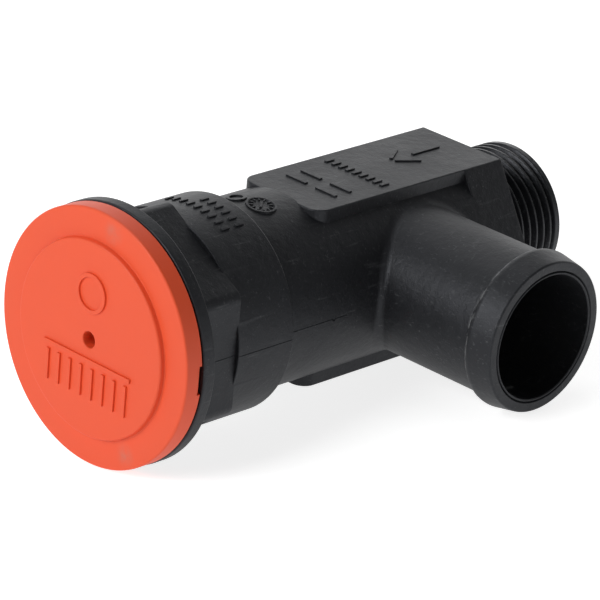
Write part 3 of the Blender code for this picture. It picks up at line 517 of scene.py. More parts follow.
def hexagon(flats, x_low, x_high, turn_deg=0.0, corner_r=0.0):
    """A hexagonal bar along X. At zero turn two of its flats face up and down."""
    bm = bmesh.new()
    bmesh.ops.create_cone(
        bm, cap_ends=True, segments=6, radius1=flats / math.sqrt(3), radius2=flats / math.sqrt(3),
        depth=x_high - x_low)
    turn = Matrix.Rotation(math.radians(turn_deg), 4, "X") @ Matrix.Rotation(math.radians(90), 4, "Y")
    bmesh.ops.transform(bm, verts=bm.verts, matrix=turn)
    bmesh.ops.translate(bm, verts=bm.verts, vec=((x_low + x_high) / 2, 0, 0))
    if corner_r:
        long_edges = [edge for edge in bm.edges if abs(edge.verts[0].co.x - edge.verts[1].co.x) > GAP]
        bevel(bm, long_edges, corner_r, 6)
    return bm


def bevel(bm, edges, width, segments=3):
    bmesh.ops.bevel(
        bm, geom=edges, offset=width, affect="EDGES", segments=segments, profile=0.5, material=-1,
        clamp_overlap=True)


def sharp_edges(bm, degrees=20.0):
    return [
        edge for edge in bm.edges
        if len(edge.link_faces) == 2 and edge.calc_face_angle() > math.radians(degrees)]


def block(low, high, edge_r=0.0):
    """A box between two corners, with rounded edges if asked."""
    bm = bmesh.new()
    bmesh.ops.create_cube(bm, size=1.0)
    size = [top - bottom for bottom, top in zip(low, high)]
    middle = [(top + bottom) / 2 for bottom, top in zip(low, high)]
    bmesh.ops.scale(bm, vec=size, verts=bm.verts)
    bmesh.ops.translate(bm, vec=middle, verts=bm.verts)
    if edge_r:
        bevel(bm, list(bm.edges), edge_r, 2)
    return bm


def thread_ridge(x_low, x_high, root_r, depth, pitch, crest, foot, steps=96):
    """One right-handed thread as a closed ridge that fades out at both ends."""
    turns = (x_high - x_low) / pitch
    sunk = root_r - GAP
    shape = [
        (-foot / 2, sunk), (-foot / 2, root_r), (-crest / 2 - depth * 0.12, root_r + depth * 0.90),
        (-crest / 2, root_r + depth), (crest / 2, root_r + depth),
        (crest / 2 + depth * 0.12, root_r + depth * 0.90), (foot / 2, root_r), (foot / 2, sunk)]
    bm = bmesh.new()
    verts = [bm.verts.new((x_low + x, 0.0, radius)) for x, radius in shape]
    face = bm.faces.new(verts)
    count = round(turns * steps)
    bmesh.ops.spin(
        bm, geom=[*verts, *face.edges, face], cent=(0, 0, 0), axis=(1, 0, 0),
        dvec=((x_high - x_low) / count, 0, 0), angle=2 * math.pi * turns, steps=count)
    for vert in bm.verts:
        radius = math.hypot(vert.co.y, vert.co.z)
        from_end = min(vert.co.x - x_low, x_high - vert.co.x)
        share = min(1.0, max(0.0, (from_end + foot / 2) / (pitch * 0.7)))
        if radius > sunk + GAP / 2:
            wanted = sunk + (radius - sunk) * (0.12 + 0.88 * share)
            vert.co.y *= wanted / radius
            vert.co.z *= wanted / radius
    bmesh.ops.recalc_face_normals(bm, faces=bm.faces)
    return bm


def solid(name, bm):
    mesh = bpy.data.meshes.new(name)
    bm.to_mesh(mesh)
    bm.free()
    made = bpy.data.objects.new(name, mesh)
    bpy.context.scene.collection.objects.link(made)
    return made


def combine(target, operation, *shapes):
    """Join, cut or trim a solid by others, and drop them."""
    tools = [solid("shape", bm) for bm in shapes]
    for tool in tools:
        modifier = target.modifiers.new("shape", "BOOLEAN")
        modifier.operation = operation
        modifier.object = tool
        modifier.solver = "EXACT"
    settle(target)
    for tool in tools:
        bpy.data.objects.remove(tool, do_unlink=True)


def settle(thing):
    """Make the modifiers' result the object's own mesh."""
    graph = bpy.context.evaluated_depsgraph_get()
    thing.data = bpy.data.meshes.new_from_object(thing.evaluated_get(graph))
    thing.modifiers.clear()


def smooth(thing):
    thing.data.shade_smooth()
    thing.data.set_sharp_from_angle(angle=SHARP_ANGLE)
    even = thing.modifiers.new("even_normals", "WEIGHTED_NORMAL")
    even.keep_sharp = True


def dress(thing, node, body, look):
    """Hand a finished piece over to the node that it stands for."""
    thing.data.materials.clear()
    thing.data.materials.append(look)
    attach(thing, body)
    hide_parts(node)


def to_outlet(bm):
    """Carry a shape turned about X to the outlet, with its +X end pointing along -Y."""
    bmesh.ops.transform(bm, verts=bm.verts, matrix=Matrix.Rotation(math.radians(-90), 4, "Z"))
    bmesh.ops.translate(bm, verts=bm.verts, vec=(-OUTLET_X, 0, 0))
    return bm


def body_outline():
    hex_r = HOUSING_HEX_FLATS / 2 - GAP
    root_r = THREAD_R - THREAD_DEPTH
    return rounded([
        (X_THREAD_END, 0.0),
        (X_THREAD_END, THREAD_R, THREAD_LIP_EDGE),
        (X_THREAD_END - THREAD_LIP, THREAD_R, THREAD_LIP_EDGE),
        (X_THREAD_END - THREAD_LIP - 0.0007, root_r, 0.0003),
        (-INLET_HEX_LENGTH + MELT, root_r),
        (-INLET_HEX_LENGTH + MELT, BARREL_R),
        (X_SHOULDER, BARREL_R, 0.0006),
        (X_SHOULDER, HOUSING_R, 0.00045),
        (X_HOUSING_END, HOUSING_R, 0.00025),
        (X_HOUSING_END, hex_r),
        (X_FLANGE_BACK + FLANGE_CONE_LENGTH, hex_r, 0.0015),
        (X_FLANGE_BACK, FLANGE_R, 0.0004),
        (X_FACE, FLANGE_R, 0.0004),
        (X_FACE, 0.0),
    ])


def tail_outline():
    collar_start = TAIL_REACH - COLLAR_LENGTH
    crest_x = collar_start + COLLAR_RAMP
    crest_r = TAIL_R + COLLAR_RISE
    mouth_r = crest_r - COLLAR_TAPER
    groove_end = TAIL_REACH - MOUTH_GROOVE_DEPTH
    return rounded([
        (GUIDE_BORE_R / 2, 0.0),
        (GUIDE_BORE_R / 2, TAIL_R),
        (collar_start, TAIL_R, 0.0006),
        (collar_start + COLLAR_RAMP * 0.6, crest_r - 0.0001, 0.0006),
        (crest_x + COLLAR_RAMP / 4, crest_r + 0.00005, 0.0020),
        (TAIL_REACH, mouth_r, TAIL_LIP),
        (TAIL_REACH, MOUTH_GROOVE_R + MOUTH_GROOVE_WIDTH, 0.00012),
        (groove_end, MOUTH_GROOVE_R + MOUTH_GROOVE_WIDTH / 2),
        (TAIL_REACH, MOUTH_GROOVE_R, 0.00012),
        (TAIL_REACH, 0.0),
    ])


def bore_outline():
    groove = BONNET_BORE_R + RING_GROOVE_DEPTH
    clip_groove = INLET_BORE_R + CLIP_GROOVE_DEPTH
    clip_low, clip_high = ends("seat_circlip")
    ring_low, ring_high = ends("retaining_ring")
    bonnet_front = ends("bonnet_plate")[1]
    past = 2 * GAP
    return [
        (X_THREAD_END + past, 0.0),
        (X_THREAD_END + past, INLET_BORE_R + 0.0008 + past),
        (X_THREAD_END - 0.0008, INLET_BORE_R),
        (clip_high + GAP, INLET_BORE_R),
        (clip_high + GAP, clip_groove),
        (clip_low - GAP, clip_groove),
        (clip_low - GAP, INLET_BORE_R),
        (X_LIP_FRONT, INLET_BORE_R),
        (X_LIP_FRONT, LIP_BORE_R),
        (X_LIP_BACK, LIP_BORE_R),
        (X_LIP_BACK, GUIDE_BORE_R),
        (X_HOUSING_BORE, GUIDE_BORE_R),
        (X_HOUSING_BORE, HOUSING_BORE_R),
        (bonnet_front + GAP, HOUSING_BORE_R),
        (bonnet_front + GAP, BONNET_BORE_R),
        (ring_high + GAP, BONNET_BORE_R),
        (ring_high + GAP, groove),
        (ring_low - GAP, groove),
        (ring_low - GAP, BONNET_BORE_R),
        (X_FACE + 0.0005, BONNET_BORE_R),
        (X_FACE - past, BONNET_BORE_R + 0.0005 + past),
        (X_FACE - past, 0.0),
    ]


def ends(node):
    """Lowest and highest x of a node."""
    low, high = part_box(node)
    return low.x, high.x


def inlet_hexagon_with_pads():
    """The tightening hexagon, with its upper and lower flats carried on as a slab through the barrel."""
    bm = hexagon(INLET_HEX_FLATS, -INLET_HEX_LENGTH, 0.0)
    for side in (-1, 1):
        corner_verts = [
            vert for vert in bm.verts
            if vert.co.x < -GAP and abs(vert.co.z) > GAP and vert.co.y * side > 0]
        bmesh.ops.connect_verts(bm, verts=corner_verts)
    middle = [
        face for face in bm.faces
        if face.calc_center_median().x < -INLET_HEX_LENGTH + GAP and abs(face.calc_center_median().y) < GAP]
    grown = bmesh.ops.extrude_discrete_faces(bm, faces=middle)
    bmesh.ops.translate(bm, vec=(-PAD_LENGTH, 0, 0), verts=grown["faces"][0].verts)
    corners = [
        edge for edge in bm.edges
        if all(vert.co.x < -INLET_HEX_LENGTH - GAP for vert in edge.verts)
        and edge.verts[0].co.z * edge.verts[1].co.z < 0]
    bevel(bm, corners, PAD_CORNER_R, 10)
    bmesh.ops.dissolve_limit(
        bm, angle_limit=math.radians(1.0), verts=bm.verts, edges=bm.edges)
    bevel(bm, sharp_edges(bm), PAD_EDGE_R / 2, 3)
    return bm


def root_fillet():
    """Concave ring where the hose tail grows out of the barrel."""
    steps = 96
    bends = 6

    def barrel_y(z):
        return -math.sqrt(BARREL_R ** 2 - min(abs(z), BARREL_R * 0.98) ** 2)

    bm = bmesh.new()
    rings = []
    for number in range(bends + 3):
        made = bmesh.ops.create_circle(bm, cap_ends=False, segments=steps, radius=TAIL_R)
        ring = made["verts"]
        for vert in ring:
            angle = math.atan2(vert.co.y, vert.co.x)
            side = math.sin(angle)
            root = Vector((TAIL_R, barrel_y(TAIL_R * side)))
            on_tail = root + Vector((0.0, -ROOT_FILLET))
            out_r = TAIL_R + ROOT_FILLET
            on_barrel = Vector((out_r, barrel_y(out_r * side)))
            if number <= bends:
                share = number / bends
                spot = on_tail.lerp(root, share).lerp(root.lerp(on_barrel, share), share)
            elif number == bends + 1:
                spot = on_barrel + Vector((-GAP, 2 * MELT))
            else:
                spot = on_tail + Vector((-2 * MELT, 0.0))
            vert.co = (-OUTLET_X + spot.x * math.cos(angle), spot.y, spot.x * math.sin(angle))
        rings.append(made["verts"])
    loops = [ring_edges(ring) for ring in rings]
    for first, second in zip(loops, loops[1:] + loops[:1]):
        bmesh.ops.bridge_loops(bm, edges=first + second)
    bmesh.ops.recalc_face_normals(bm, faces=bm.faces)
    return bm


def ring_edges(verts):
    inside = set(verts)
    return list({edge for vert in verts for edge in vert.link_edges if edge.other_vert(vert) in inside})


def valve_body():
    """The moulding: barrel, housing, hexagons, pads, hose tail and thread joined as one solid."""
    body = solid("valve_body_fine", turned(body_outline(), TURN_STEPS))
    pad_floor = INLET_HEX_FLATS / 2 - MELT
    half_width = INLET_HEX_FLATS / 2 * math.tan(math.radians(30)) - MELT
    pad_end = -INLET_HEX_LENGTH - PAD_LENGTH + MELT
    crests = [
        block((pad_end, -half_width, low), (-INLET_HEX_LENGTH / 2, half_width, high))
        for low, high in ((pad_floor, HOUSING_R), (-HOUSING_R, -pad_floor))]
    combine(body, "DIFFERENCE", *crests)
    housing_hex = hexagon(HOUSING_HEX_FLATS, X_FACE + MELT, X_HOUSING_END + MELT, 30.0, HOUSING_HEX_CORNER_R)
    ends_of_hex = [
        edge for edge in sharp_edges(housing_hex)
        if abs(edge.verts[0].co.x - edge.verts[1].co.x) < GAP and edge.verts[0].co.x > X_HOUSING_END]
    bevel(housing_hex, ends_of_hex, 0.00025, 2)
    thread = thread_ridge(
        0.0004, X_THREAD_END - THREAD_LIP - 0.0004, THREAD_R - THREAD_DEPTH, THREAD_DEPTH, THREAD_PITCH,
        THREAD_CREST, THREAD_FOOT)
    combine(
        body, "UNION", inlet_hexagon_with_pads(), housing_hex, to_outlet(turned(tail_outline(), TURN_STEPS)),
        root_fillet(), thread)
    combine(body, "UNION", pad_marks(), housing_marks(), *dial())
    outlet_bore = to_outlet(turned([
        (0.0, 0.0), (0.0, TAIL_BORE_R), (TAIL_REACH - MOUTH_CHAMFER, TAIL_BORE_R),
        (TAIL_REACH + GAP, TAIL_BORE_R + GAP + MOUTH_CHAMFER), (TAIL_REACH + GAP, 0.0)], TURN_STEPS))
    combine(body, "DIFFERENCE", turned(bore_outline(), TURN_STEPS), outlet_bore, *parting_line())
    smooth(body)
    dress(body, "valve_body", "body", black_nylon("moulded_black_nylon"))


def parting_line():
    """The thin line that the mould's halves leave along the side, and the gate's dimple on it."""
    flat = HOUSING_HEX_FLATS / 2
    stretches = [(X_LINE_START, X_HOUSING_END, flat), (X_HOUSING_END, X_SHOULDER, HOUSING_R),
                 (X_SHOULDER, X_LINE_END, BARREL_R)]
    cuts = [
        block((low, -radius - GAP, -LINE_WIDTH / 2), (high, -radius + LINE_DEPTH, LINE_WIDTH / 2))
        for low, high, radius in stretches]
    gate = bmesh.new()
    bmesh.ops.create_uvsphere(
        gate, u_segments=24, v_segments=12, radius=GATE_R,
        matrix=Matrix.Translation((X_GATE, -BARREL_R - GATE_R * 0.25, 0)))
    return [*cuts, gate]


def cap():
    spigot_r = BONNET_BORE_R - GAP
    inner_r = spigot_r - CAP_SPIGOT_WALL
    inner_x = X_CAP_FRONT + CAP_WALL
    outline = rounded([
        (X_CAP_SPIGOT, inner_r, 0.0003),
        (X_CAP_SPIGOT, spigot_r, 0.0004),
        (X_CAP_BACK, spigot_r, 0.0002),
        (X_CAP_BACK, CAP_R, 0.00035),
        (X_CAP_FRONT, CAP_R, CAP_EDGE_R),
        (X_CAP_FRONT, CAP_DISC_R, 0.0002),
        (X_CAP_DISC, CAP_DISC_R - CAP_DISC_DRAFT, 0.0005),
        (X_CAP_DISC, CAP_VENT_R, 0.0003),
        (inner_x, CAP_VENT_R),
        (inner_x, inner_r, 0.0008),
    ], 5)
    made = solid("cap_fine", turned(outline, TURN_STEPS))
    notch = block(
        (X_CAP_BACK - CAP_NOTCH_HEIGHT, -CAP_R - CAP_NOTCH_DEPTH, -CAP_NOTCH_WIDTH / 2),
        (X_CAP_BACK + CAP_NOTCH_HEIGHT, -CAP_R + CAP_NOTCH_DEPTH, CAP_NOTCH_WIDTH / 2), 0.0003)
    combine(made, "DIFFERENCE", notch)
    combine(made, "UNION", *cap_marks())
    smooth(made)
    dress(made, "cap", "cap", orange_plastic("moulded_orange_plastic"))


def cap_marks():
    """Plain upright bars under a line, and a plain ring above the vent."""
    marks = bmesh.new()
    width, height = CAP_BAR_SIZE
    span = CAP_BAR_PITCH * (CAP_BAR_COUNT - 1)
    for number in range(CAP_BAR_COUNT):
        y = CAP_BAR_PITCH * number - span / 2
        add_mark(marks, Matrix.Translation((X_CAP_DISC, y, CAP_BARS_Z)), (2 * CAP_MARK_RISE, width, height))
    line = Matrix.Translation((X_CAP_DISC, 0, CAP_LINE_Z))
    add_mark(marks, line, (2 * CAP_MARK_RISE, span + 3 * width, width))
    bevel(marks, list(marks.edges), MARK_EDGE, 2)
    ring = turned(rounded([
        (X_CAP_DISC + MARK_RISE, CAP_RING_R - width / 2),
        (X_CAP_DISC - CAP_MARK_RISE, CAP_RING_R - width / 2, MARK_EDGE),
        (X_CAP_DISC - CAP_MARK_RISE, CAP_RING_R + width / 2, MARK_EDGE),
        (X_CAP_DISC + MARK_RISE, CAP_RING_R + width / 2)]), 64)
    bmesh.ops.translate(ring, verts=ring.verts, vec=(0, 0, CAP_RING_Z))
    return [marks, ring]


def add_mark(marks, place, size):
    """Add a block of a size around a place."""
    bmesh.ops.create_cube(marks, size=1.0, matrix=place @ Matrix.Diagonal((*size, 1.0)))


def pad_marks():
    """A flow arrow, a row of plain bars and four plain cross bars on the upper pad."""
    marks = bmesh.new()
    top = INLET_HEX_FLATS / 2
    high = 2 * MARK_RISE
    shaft_x, shaft_length = ARROW_SHAFT
    add_mark(marks, Matrix.Translation((shaft_x, ARROW_Y, top)), (shaft_length, ARROW_LINE, high))
    for side in (-1, 1):
        turn = Matrix.Rotation(side * ARROW_SPREAD, 4, "Z")
        head = Matrix.Translation((ARROW_TIP_X, ARROW_Y, top)) @ turn
        add_mark(marks, head @ Matrix.Translation((0.0042, 0, 0)), (0.0060, ARROW_LINE, high))
    for number in range(PAD_BAR_COUNT):
        y = PAD_BAR_PITCH * ((PAD_BAR_COUNT - 1) / 2 - number)
        add_mark(marks, Matrix.Translation((PAD_BARS_X, y, top)), (0.0024, 0.0009, high))
    for y in CROSS_BAR_Y:
        for x in CROSS_BAR_X:
            add_mark(marks, Matrix.Translation((x, y, top)), (0.0009, 0.0060, high))
    bevel(marks, list(marks.edges), MARK_EDGE, 2)
    return marks


def housing_marks():
    """Two rows of plain bars round the top of the spring housing."""
    marks = bmesh.new()
    for x, count in HOUSING_BAR_ROWS:
        for number in range(count):
            degrees = HOUSING_BAR_START_DEG - HOUSING_BAR_STEP_DEG * number
            turn = Matrix.Rotation(math.radians(degrees), 4, "X")
            add_mark(marks, turn @ Matrix.Translation((x, 0, HOUSING_R)), (0.0022, 0.0007, 2 * MARK_RISE))
    bevel(marks, list(marks.edges), MARK_EDGE, 2)
    return marks


def on_barrel(x, y):
    """Frame on the barrel's crest whose Z points out of the surface."""
    turn = Matrix.Rotation(-math.asin(y / BARREL_R), 4, "X")
    return turn @ Matrix.Translation((x, 0, BARREL_R))


def dial():
    """On the barrel's crest: a plain dial with a rim, ticks and a pointer, and a plain ring beside it."""
    place = on_barrel(*DIAL_PLACE)
    upright = Matrix.Rotation(math.radians(-90), 4, "Y")
    boss = turned(rounded([
        (-0.0015, 0.0), (-0.0015, DIAL_R), (0.00030, DIAL_R, MARK_EDGE),
        (0.00030, DIAL_R - 0.0005, MARK_EDGE), (0.00005, DIAL_R - 0.0006),
        (0.00005, 0.0)]), 64)
    bmesh.ops.transform(boss, verts=boss.verts, matrix=place @ upright)
    marks = bmesh.new()
    middle = place @ Matrix.Translation((0, 0, 0.0001))
    for number in range(DIAL_TICKS):
        turn = Matrix.Rotation(2 * math.pi * number / DIAL_TICKS, 4, "Z")
        add_mark(marks, middle @ turn @ Matrix.Translation((DIAL_R * 0.66, 0, 0)), (0.0009, 0.0003, 0.0005))
    add_mark(marks, middle @ Matrix.Rotation(math.radians(40), 4, "Z"), (0.0026, 0.0005, 0.0006))
    bevel(marks, list(marks.edges), MARK_EDGE / 2, 1)
    ring = turned(rounded([
        (-0.0008, RING_MARK_R - 0.0008), (-0.0008, RING_MARK_R), (MARK_RISE, RING_MARK_R, MARK_EDGE),
        (MARK_RISE, RING_MARK_R - 0.0008, MARK_EDGE)]), 48)
    bmesh.ops.transform(ring, verts=ring.verts, matrix=on_barrel(*RING_MARK_PLACE) @ upright)
    return [boss, marks, ring]


def spring():
    """Compression spring with closed ends, wound as one wire along a helix."""
    x_low, x_high = ends("spring")
    x_first = x_high - WIRE_R
    end_pitch = 2 * WIRE_R + GAP
    turns = 2 * END_TURNS + ACTIVE_TURNS
    active_rise = (x_high - x_low - 2 * WIRE_R) - 2 * END_TURNS * end_pitch
    count = round(turns * SMALL_STEPS)
    curve = bpy.data.curves.new("spring_fine", "CURVE")
    curve.dimensions = "3D"
    curve.bevel_depth = WIRE_R
    curve.bevel_resolution = 6
    curve.use_fill_caps = True
    line = curve.splines.new("POLY")
    line.points.add(count)
    for step, point in enumerate(line.points):
        turn = turns * step / count
        in_active = min(max(turn - END_TURNS, 0.0), ACTIVE_TURNS)
        rise = (turn - in_active) * end_pitch + active_rise * in_active / ACTIVE_TURNS
        angle = 2 * math.pi * turn
        point.co = (x_first - rise, SPRING_MEAN_R * math.cos(angle), SPRING_MEAN_R * math.sin(angle), 1.0)
    wound = bpy.data.objects.new("wire", curve)
    bpy.context.scene.collection.objects.link(wound)
    graph = bpy.context.evaluated_depsgraph_get()
    mesh = bpy.data.meshes.new_from_object(wound.evaluated_get(graph))
    bpy.data.objects.remove(wound, do_unlink=True)
    made = bpy.data.objects.new("spring_fine", mesh)
    bpy.context.scene.collection.objects.link(made)
    made.data.shade_smooth()
    dress(made, "spring", "body", plated_metal("drawn_spring_steel", (0.30, 0.30, 0.31), 0.30))
    lift = next(joint for joint in frame["record"]["behaviour"]["joints"] if joint["name"] == "valve_lift")
    keep = 1 - lift["range_m"][1] / (x_high - x_low)
    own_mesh(made)


def adjuster_screw():
    """Adjusting screw: rolled thread, key socket at the back, dimple for the ball at the tip."""
    x_low, x_high = ends("adjuster_screw")
    adjuster_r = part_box("adjuster_screw")[1].z
    root_r = adjuster_r - FINE_THREAD_DEPTH
    ball_low, ball_high = ends("thrust_ball")
    ball = ((ball_low + ball_high) / 2, 0.0)
    around_ball = arc(ball, (ball_high - ball_low) / 2 + GAP, 90, 180, 24)
    dimple = [point for point in around_ball if point[0] < x_high]
    dimple[-1] = (dimple[-1][0], 0.0)
    outline = [
        *dimple, (x_low, 0.0), (x_low, root_r), (x_low + FINE_PITCH / 2, root_r), (x_high - 0.0007, root_r),
        (x_high, root_r - 0.0006)]
    made = solid("adjuster_screw_fine", turned(outline))
    point = turned([
        (x_low, 0.0), (x_low, adjuster_r - 0.0008), (x_low + 0.0008, adjuster_r),
        (x_low + 0.0014, adjuster_r), (x_low + 0.0020, root_r - GAP), (x_low + 0.0020, 0.0)])
    thread = thread_ridge(
        x_low + 0.0016, x_high - 0.0010, root_r, FINE_THREAD_DEPTH, FINE_PITCH, FINE_PITCH * 0.14,
        FINE_PITCH * 0.86)
    combine(made, "UNION", point, thread)
    entry = ADJUSTER_KEY_FLATS / math.sqrt(3)
    lead_in = turned([
        (x_low - GAP, 0.0), (x_low - GAP, entry + 2 * GAP), (x_low + entry / 2, entry / 2),
        (x_low + entry / 2, 0.0)])
    combine(
        made, "DIFFERENCE", hexagon(ADJUSTER_KEY_FLATS, x_low - GAP, x_low + ADJUSTER_KEY_DEPTH), lead_in)
    smooth(made)
    dress(made, "adjuster_screw", "adjuster", turned_metal("cut_steel_adjuster", (0.56, 0.55, 0.52), 0.26))


def lock_nut():
    """Thin hexagon nut with its corners turned off on the outer side."""
    x_low, x_high = ends("lock_nut")
    corner_r = LOCK_NUT_FLATS / math.sqrt(3)
    hole_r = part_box("adjuster_screw")[1].z + GAP
    made = solid("lock_nut_fine", hexagon(LOCK_NUT_FLATS, x_low, x_high))
    chamfer = turned([
        (x_high + GAP, 0.0), (x_high + GAP, corner_r + GAP), (x_low + NUT_CHAMFER, corner_r + GAP),
        (x_low, LOCK_NUT_FLATS / 2 - GAP), (x_low - GAP, LOCK_NUT_FLATS / 2 - 4 * GAP), (x_low - GAP, 0.0)])
    combine(made, "INTERSECT", chamfer)
    hole = turned([
        (x_high + GAP, 0.0), (x_high + GAP, hole_r), (x_low + NUT_CHAMFER / 2, hole_r),
        (x_low - GAP, hole_r + NUT_CHAMFER / 2 + GAP), (x_low - GAP, 0.0)])
    combine(made, "DIFFERENCE", hole)
    smooth(made)
    dress(made, "lock_nut", "nut", plated_metal("zinc_plated_nut", (0.60, 0.59, 0.56), 0.30))


def bonnet_plate():
    """Threaded brass plate with four pin holes for its spanner."""
    x_low, x_high = ends("bonnet_plate")
    plate_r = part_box("bonnet_plate")[1].z
    hole_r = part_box("adjuster_screw")[1].z + GAP
    made = solid("bonnet_plate_fine", turned(rounded([
        (x_high, hole_r + 2 * GAP), (x_high, plate_r, 0.0004), (x_low, plate_r, 0.0004),
        (x_low, hole_r + 2 * GAP), (x_low + 2 * GAP, hole_r), (x_high - 2 * GAP, hole_r)]), TURN_STEPS))
    holes = []
    for number in range(PIN_HOLE_COUNT):
        turn = math.radians(45 + number * 360 / PIN_HOLE_COUNT)
        y = PIN_HOLE_CIRCLE_R * math.cos(turn)
        z = PIN_HOLE_CIRCLE_R * math.sin(turn)
        hole = turned([
            (x_high + GAP, 0.0), (x_high + GAP, PIN_HOLE_R), (x_low + GAP, PIN_HOLE_R),
            (x_low - GAP, PIN_HOLE_R + 2 * GAP), (x_low - GAP, 0.0)], 48)
        bmesh.ops.translate(hole, verts=hole.verts, vec=(0, y, z))
        holes.append(hole)
    combine(made, "DIFFERENCE", *holes)
    smooth(made)
    dress(made, "bonnet_plate", "body", turned_metal("turned_brass_bonnet", (0.70, 0.50, 0.22), 0.28))


def camera_axes():
    azimuth = math.radians(AZIMUTH_DEG)
    elevation = math.radians(ELEVATION_DEG)
    roll = math.radians(ROLL_DEG)
    level_part = math.cos(elevation)
    back = Vector((math.sin(azimuth) * level_part, -math.cos(azimuth) * level_part, math.sin(elevation)))
    level = Vector((0, 0, 1)).cross(back).normalized()
    upright = back.cross(level)
    right = level * math.cos(roll) + upright * math.sin(roll)
    up = upright * math.cos(roll) - level * math.sin(roll)
    return right, up, back


def camera():
    right, up, back = camera_axes()
    data = bpy.data.cameras.new("camera")
    data.sensor_width = SENSOR_MM
    data.lens = SENSOR_MM * FOCAL_PX / IMAGE_SIDE_PX
    data.clip_start = 0.02
    data.clip_end = 20.0
    made = bpy.data.objects.new("camera", data)
    place = AXES_MEET - right * AIM_RIGHT - up * AIM_UP + back * DISTANCE
    made.matrix_world = Matrix.Translation(place) @ Matrix((right, up, back)).transposed().to_4x4()
    bpy.context.scene.collection.objects.link(made)
    bpy.context.scene.camera = made


def rest_plane():
    """The plane that the valve lies on: it touches the flange, the tail's collar and the inlet hexagon."""
    flange = Vector((X_FACE, 0, 0))
    collar = Vector((-OUTLET_X, -TAIL_REACH + COLLAR_LENGTH - COLLAR_RAMP, 0))
    collar_r = TAIL_R + COLLAR_RISE
    half_width = INLET_HEX_FLATS / 2 * math.tan(math.radians(30))
    hex_corner = Vector((0, -half_width, -INLET_HEX_FLATS / 2))
    normal = Vector((0, 0, 1))
    for _ in range(20):
        down_in_flange = -Vector((0, normal.y, normal.z)).normalized()
        down_in_collar = -Vector((normal.x, 0, normal.z)).normalized()
        touch = [flange + down_in_flange * FLANGE_R, collar + down_in_collar * collar_r, hex_corner]
        normal = (touch[1] - touch[0]).cross(touch[2] - touch[0]).normalized()
        if normal.z < 0:
            normal = -normal
    return touch[0], normal


def stage():
    """A wide pale floor under the valve. It reads as white and keeps the valve's soft shadow."""
    point, normal = rest_plane()
    bm = bmesh.new()
    bmesh.ops.create_circle(bm, cap_ends=True, segments=64, radius=FLOOR_R)
    turn = normal.to_track_quat("Z", "Y").to_matrix().to_4x4()
    bmesh.ops.transform(bm, verts=bm.verts, matrix=Matrix.Translation(point - normal * FLOOR_GAP) @ turn)
    made = solid("floor", bm)
    look = Finish("pale_floor")
    look.feed("Base Color", grey(0.60))
    look.feed("Roughness", 0.9)
    look.feed("Specular IOR Level", 0.0)
    look.feed("Emission Strength", 1.0)
    is_camera = look.node("LightPath", {}, {}, "Is Camera Ray")
    away = look.node("VectorMath", {"operation": "LENGTH"}, {0: look.place()}, "Value")
    glow = look.ramp(away, (0.15, FLOOR_GLOW), (0.60, 1.0))
    look.feed("Emission Color", FLOOR_BOUNCE + is_camera * (glow - FLOOR_BOUNCE))
    made.data.materials.append(look.material)


def world():
    """White where the camera looks past the valve. Elsewhere a studio that is bright behind, dim in front."""
    made = bpy.data.worlds.new("studio")
    made.use_nodes = True
    bpy.context.scene.world = made
    tree = made.node_tree
    tree.nodes.clear()
    room = Nodes(tree)
    direction = room.node("TexCoord", {}, {}, "Generated")
    _, _, back = camera_axes()
    toward_camera = room.node(
        "VectorMath", {"operation": "DOT_PRODUCT"}, {0: direction, 1: tuple(back)}, "Value")
    height = room.node("SeparateXYZ", {}, {"Vector": direction}, "Z")
    behind = room.ramp(toward_camera * 0.5 + 0.5, (0.15, 1.0), (0.44, 0.0))
    low = room.ramp(height * 0.5 + 0.5, (0.70, 1.0), (0.90, ROOM_HIGH))
    tone = behind * low + ROOM_FRONT
    is_camera = room.node("LightPath", {}, {}, "Is Camera Ray")
    strength = is_camera * 1.0 + (1.0 - is_camera) * tone * ROOM_LEVEL
    background = room.node("Background", {}, {"Color": grey(1.0), "Strength": strength})
    output = tree.nodes.new("ShaderNodeOutputWorld")
    tree.links.new(background.output, output.inputs["Surface"])


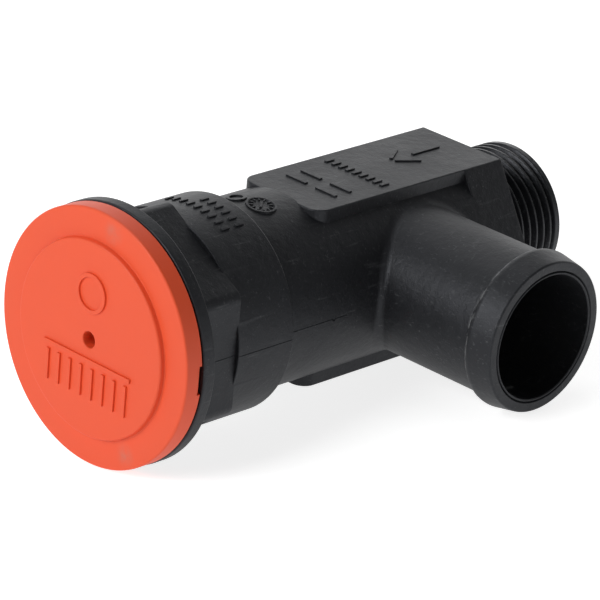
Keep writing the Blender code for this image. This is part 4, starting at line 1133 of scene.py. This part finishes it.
def lamp(name, place, aim, size, power):
    data = bpy.data.lights.new(name, "AREA")
    data.shape = "SQUARE"
    data.size = size
    data.energy = power
    made = bpy.data.objects.new(name, data)
    made.location = place
    made.rotation_mode = "QUATERNION"
    made.rotation_quaternion = (Vector(aim) - Vector(place)).to_track_quat("-Z", "Y")
    bpy.context.scene.collection.objects.link(made)


def lights():
    middle = (-0.045, -0.01, 0.0)
    for name, place, size, power in LAMPS:
        lamp(name, place, middle, size, power)


def simple_finishes():
    """Finishes of the nodes that keep their CAD shape."""
    looks = {
        "seat_ring": turned_metal("turned_stainless", (0.62, 0.62, 0.61), 0.22),
        "seat_o_ring": rubber("static_seal_rubber", 0.012, 0.5),
        "seat_circlip": plated_metal("circlip_phosphate", (0.36, 0.36, 0.37), 0.35),
        "piston": turned_metal("turned_brass_piston", (0.62, 0.44, 0.17), 0.24),
        "sealing_disc": rubber("sealing_disc_rubber", 0.014, 0.55),
        "disc_washer": plated_metal("pressed_washer_steel", (0.60, 0.60, 0.60), 0.3),
        "disc_screw": turned_metal("screw_steel", (0.55, 0.55, 0.56), 0.26),
        "piston_o_ring": rubber("greased_seal_rubber", 0.010, 0.3),
        "backup_ring": ring_plastic("backup_ring_plastic", (0.78, 0.77, 0.72)),
        "guide_ring": ring_plastic("guide_ring_plastic", (0.30, 0.20, 0.12)),
        "spring_plate_lower": turned_metal("plate_steel_lower", (0.50, 0.50, 0.50), 0.3),
        "spring_plate_upper": turned_metal("plate_steel_upper", (0.50, 0.50, 0.50), 0.3),
        "thrust_ball": turned_metal("polished_ball", (0.66, 0.66, 0.68), 0.06),
        "lock_washer": plated_metal("zinc_washer", (0.58, 0.58, 0.57), 0.32),
        "retaining_ring": plated_metal("retaining_ring_phosphate", (0.34, 0.34, 0.35), 0.35),
    }
    for node, look in looks.items():
        frame["nodes"][node].data.materials.clear()
        frame["nodes"][node].data.materials.append(look)


valve_body()
cap()
spring()
adjuster_screw()
lock_nut()
bonnet_plate()
simple_finishes()
camera()
stage()
world()
lights()
bpy.context.scene.view_settings.view_transform = "Standard"
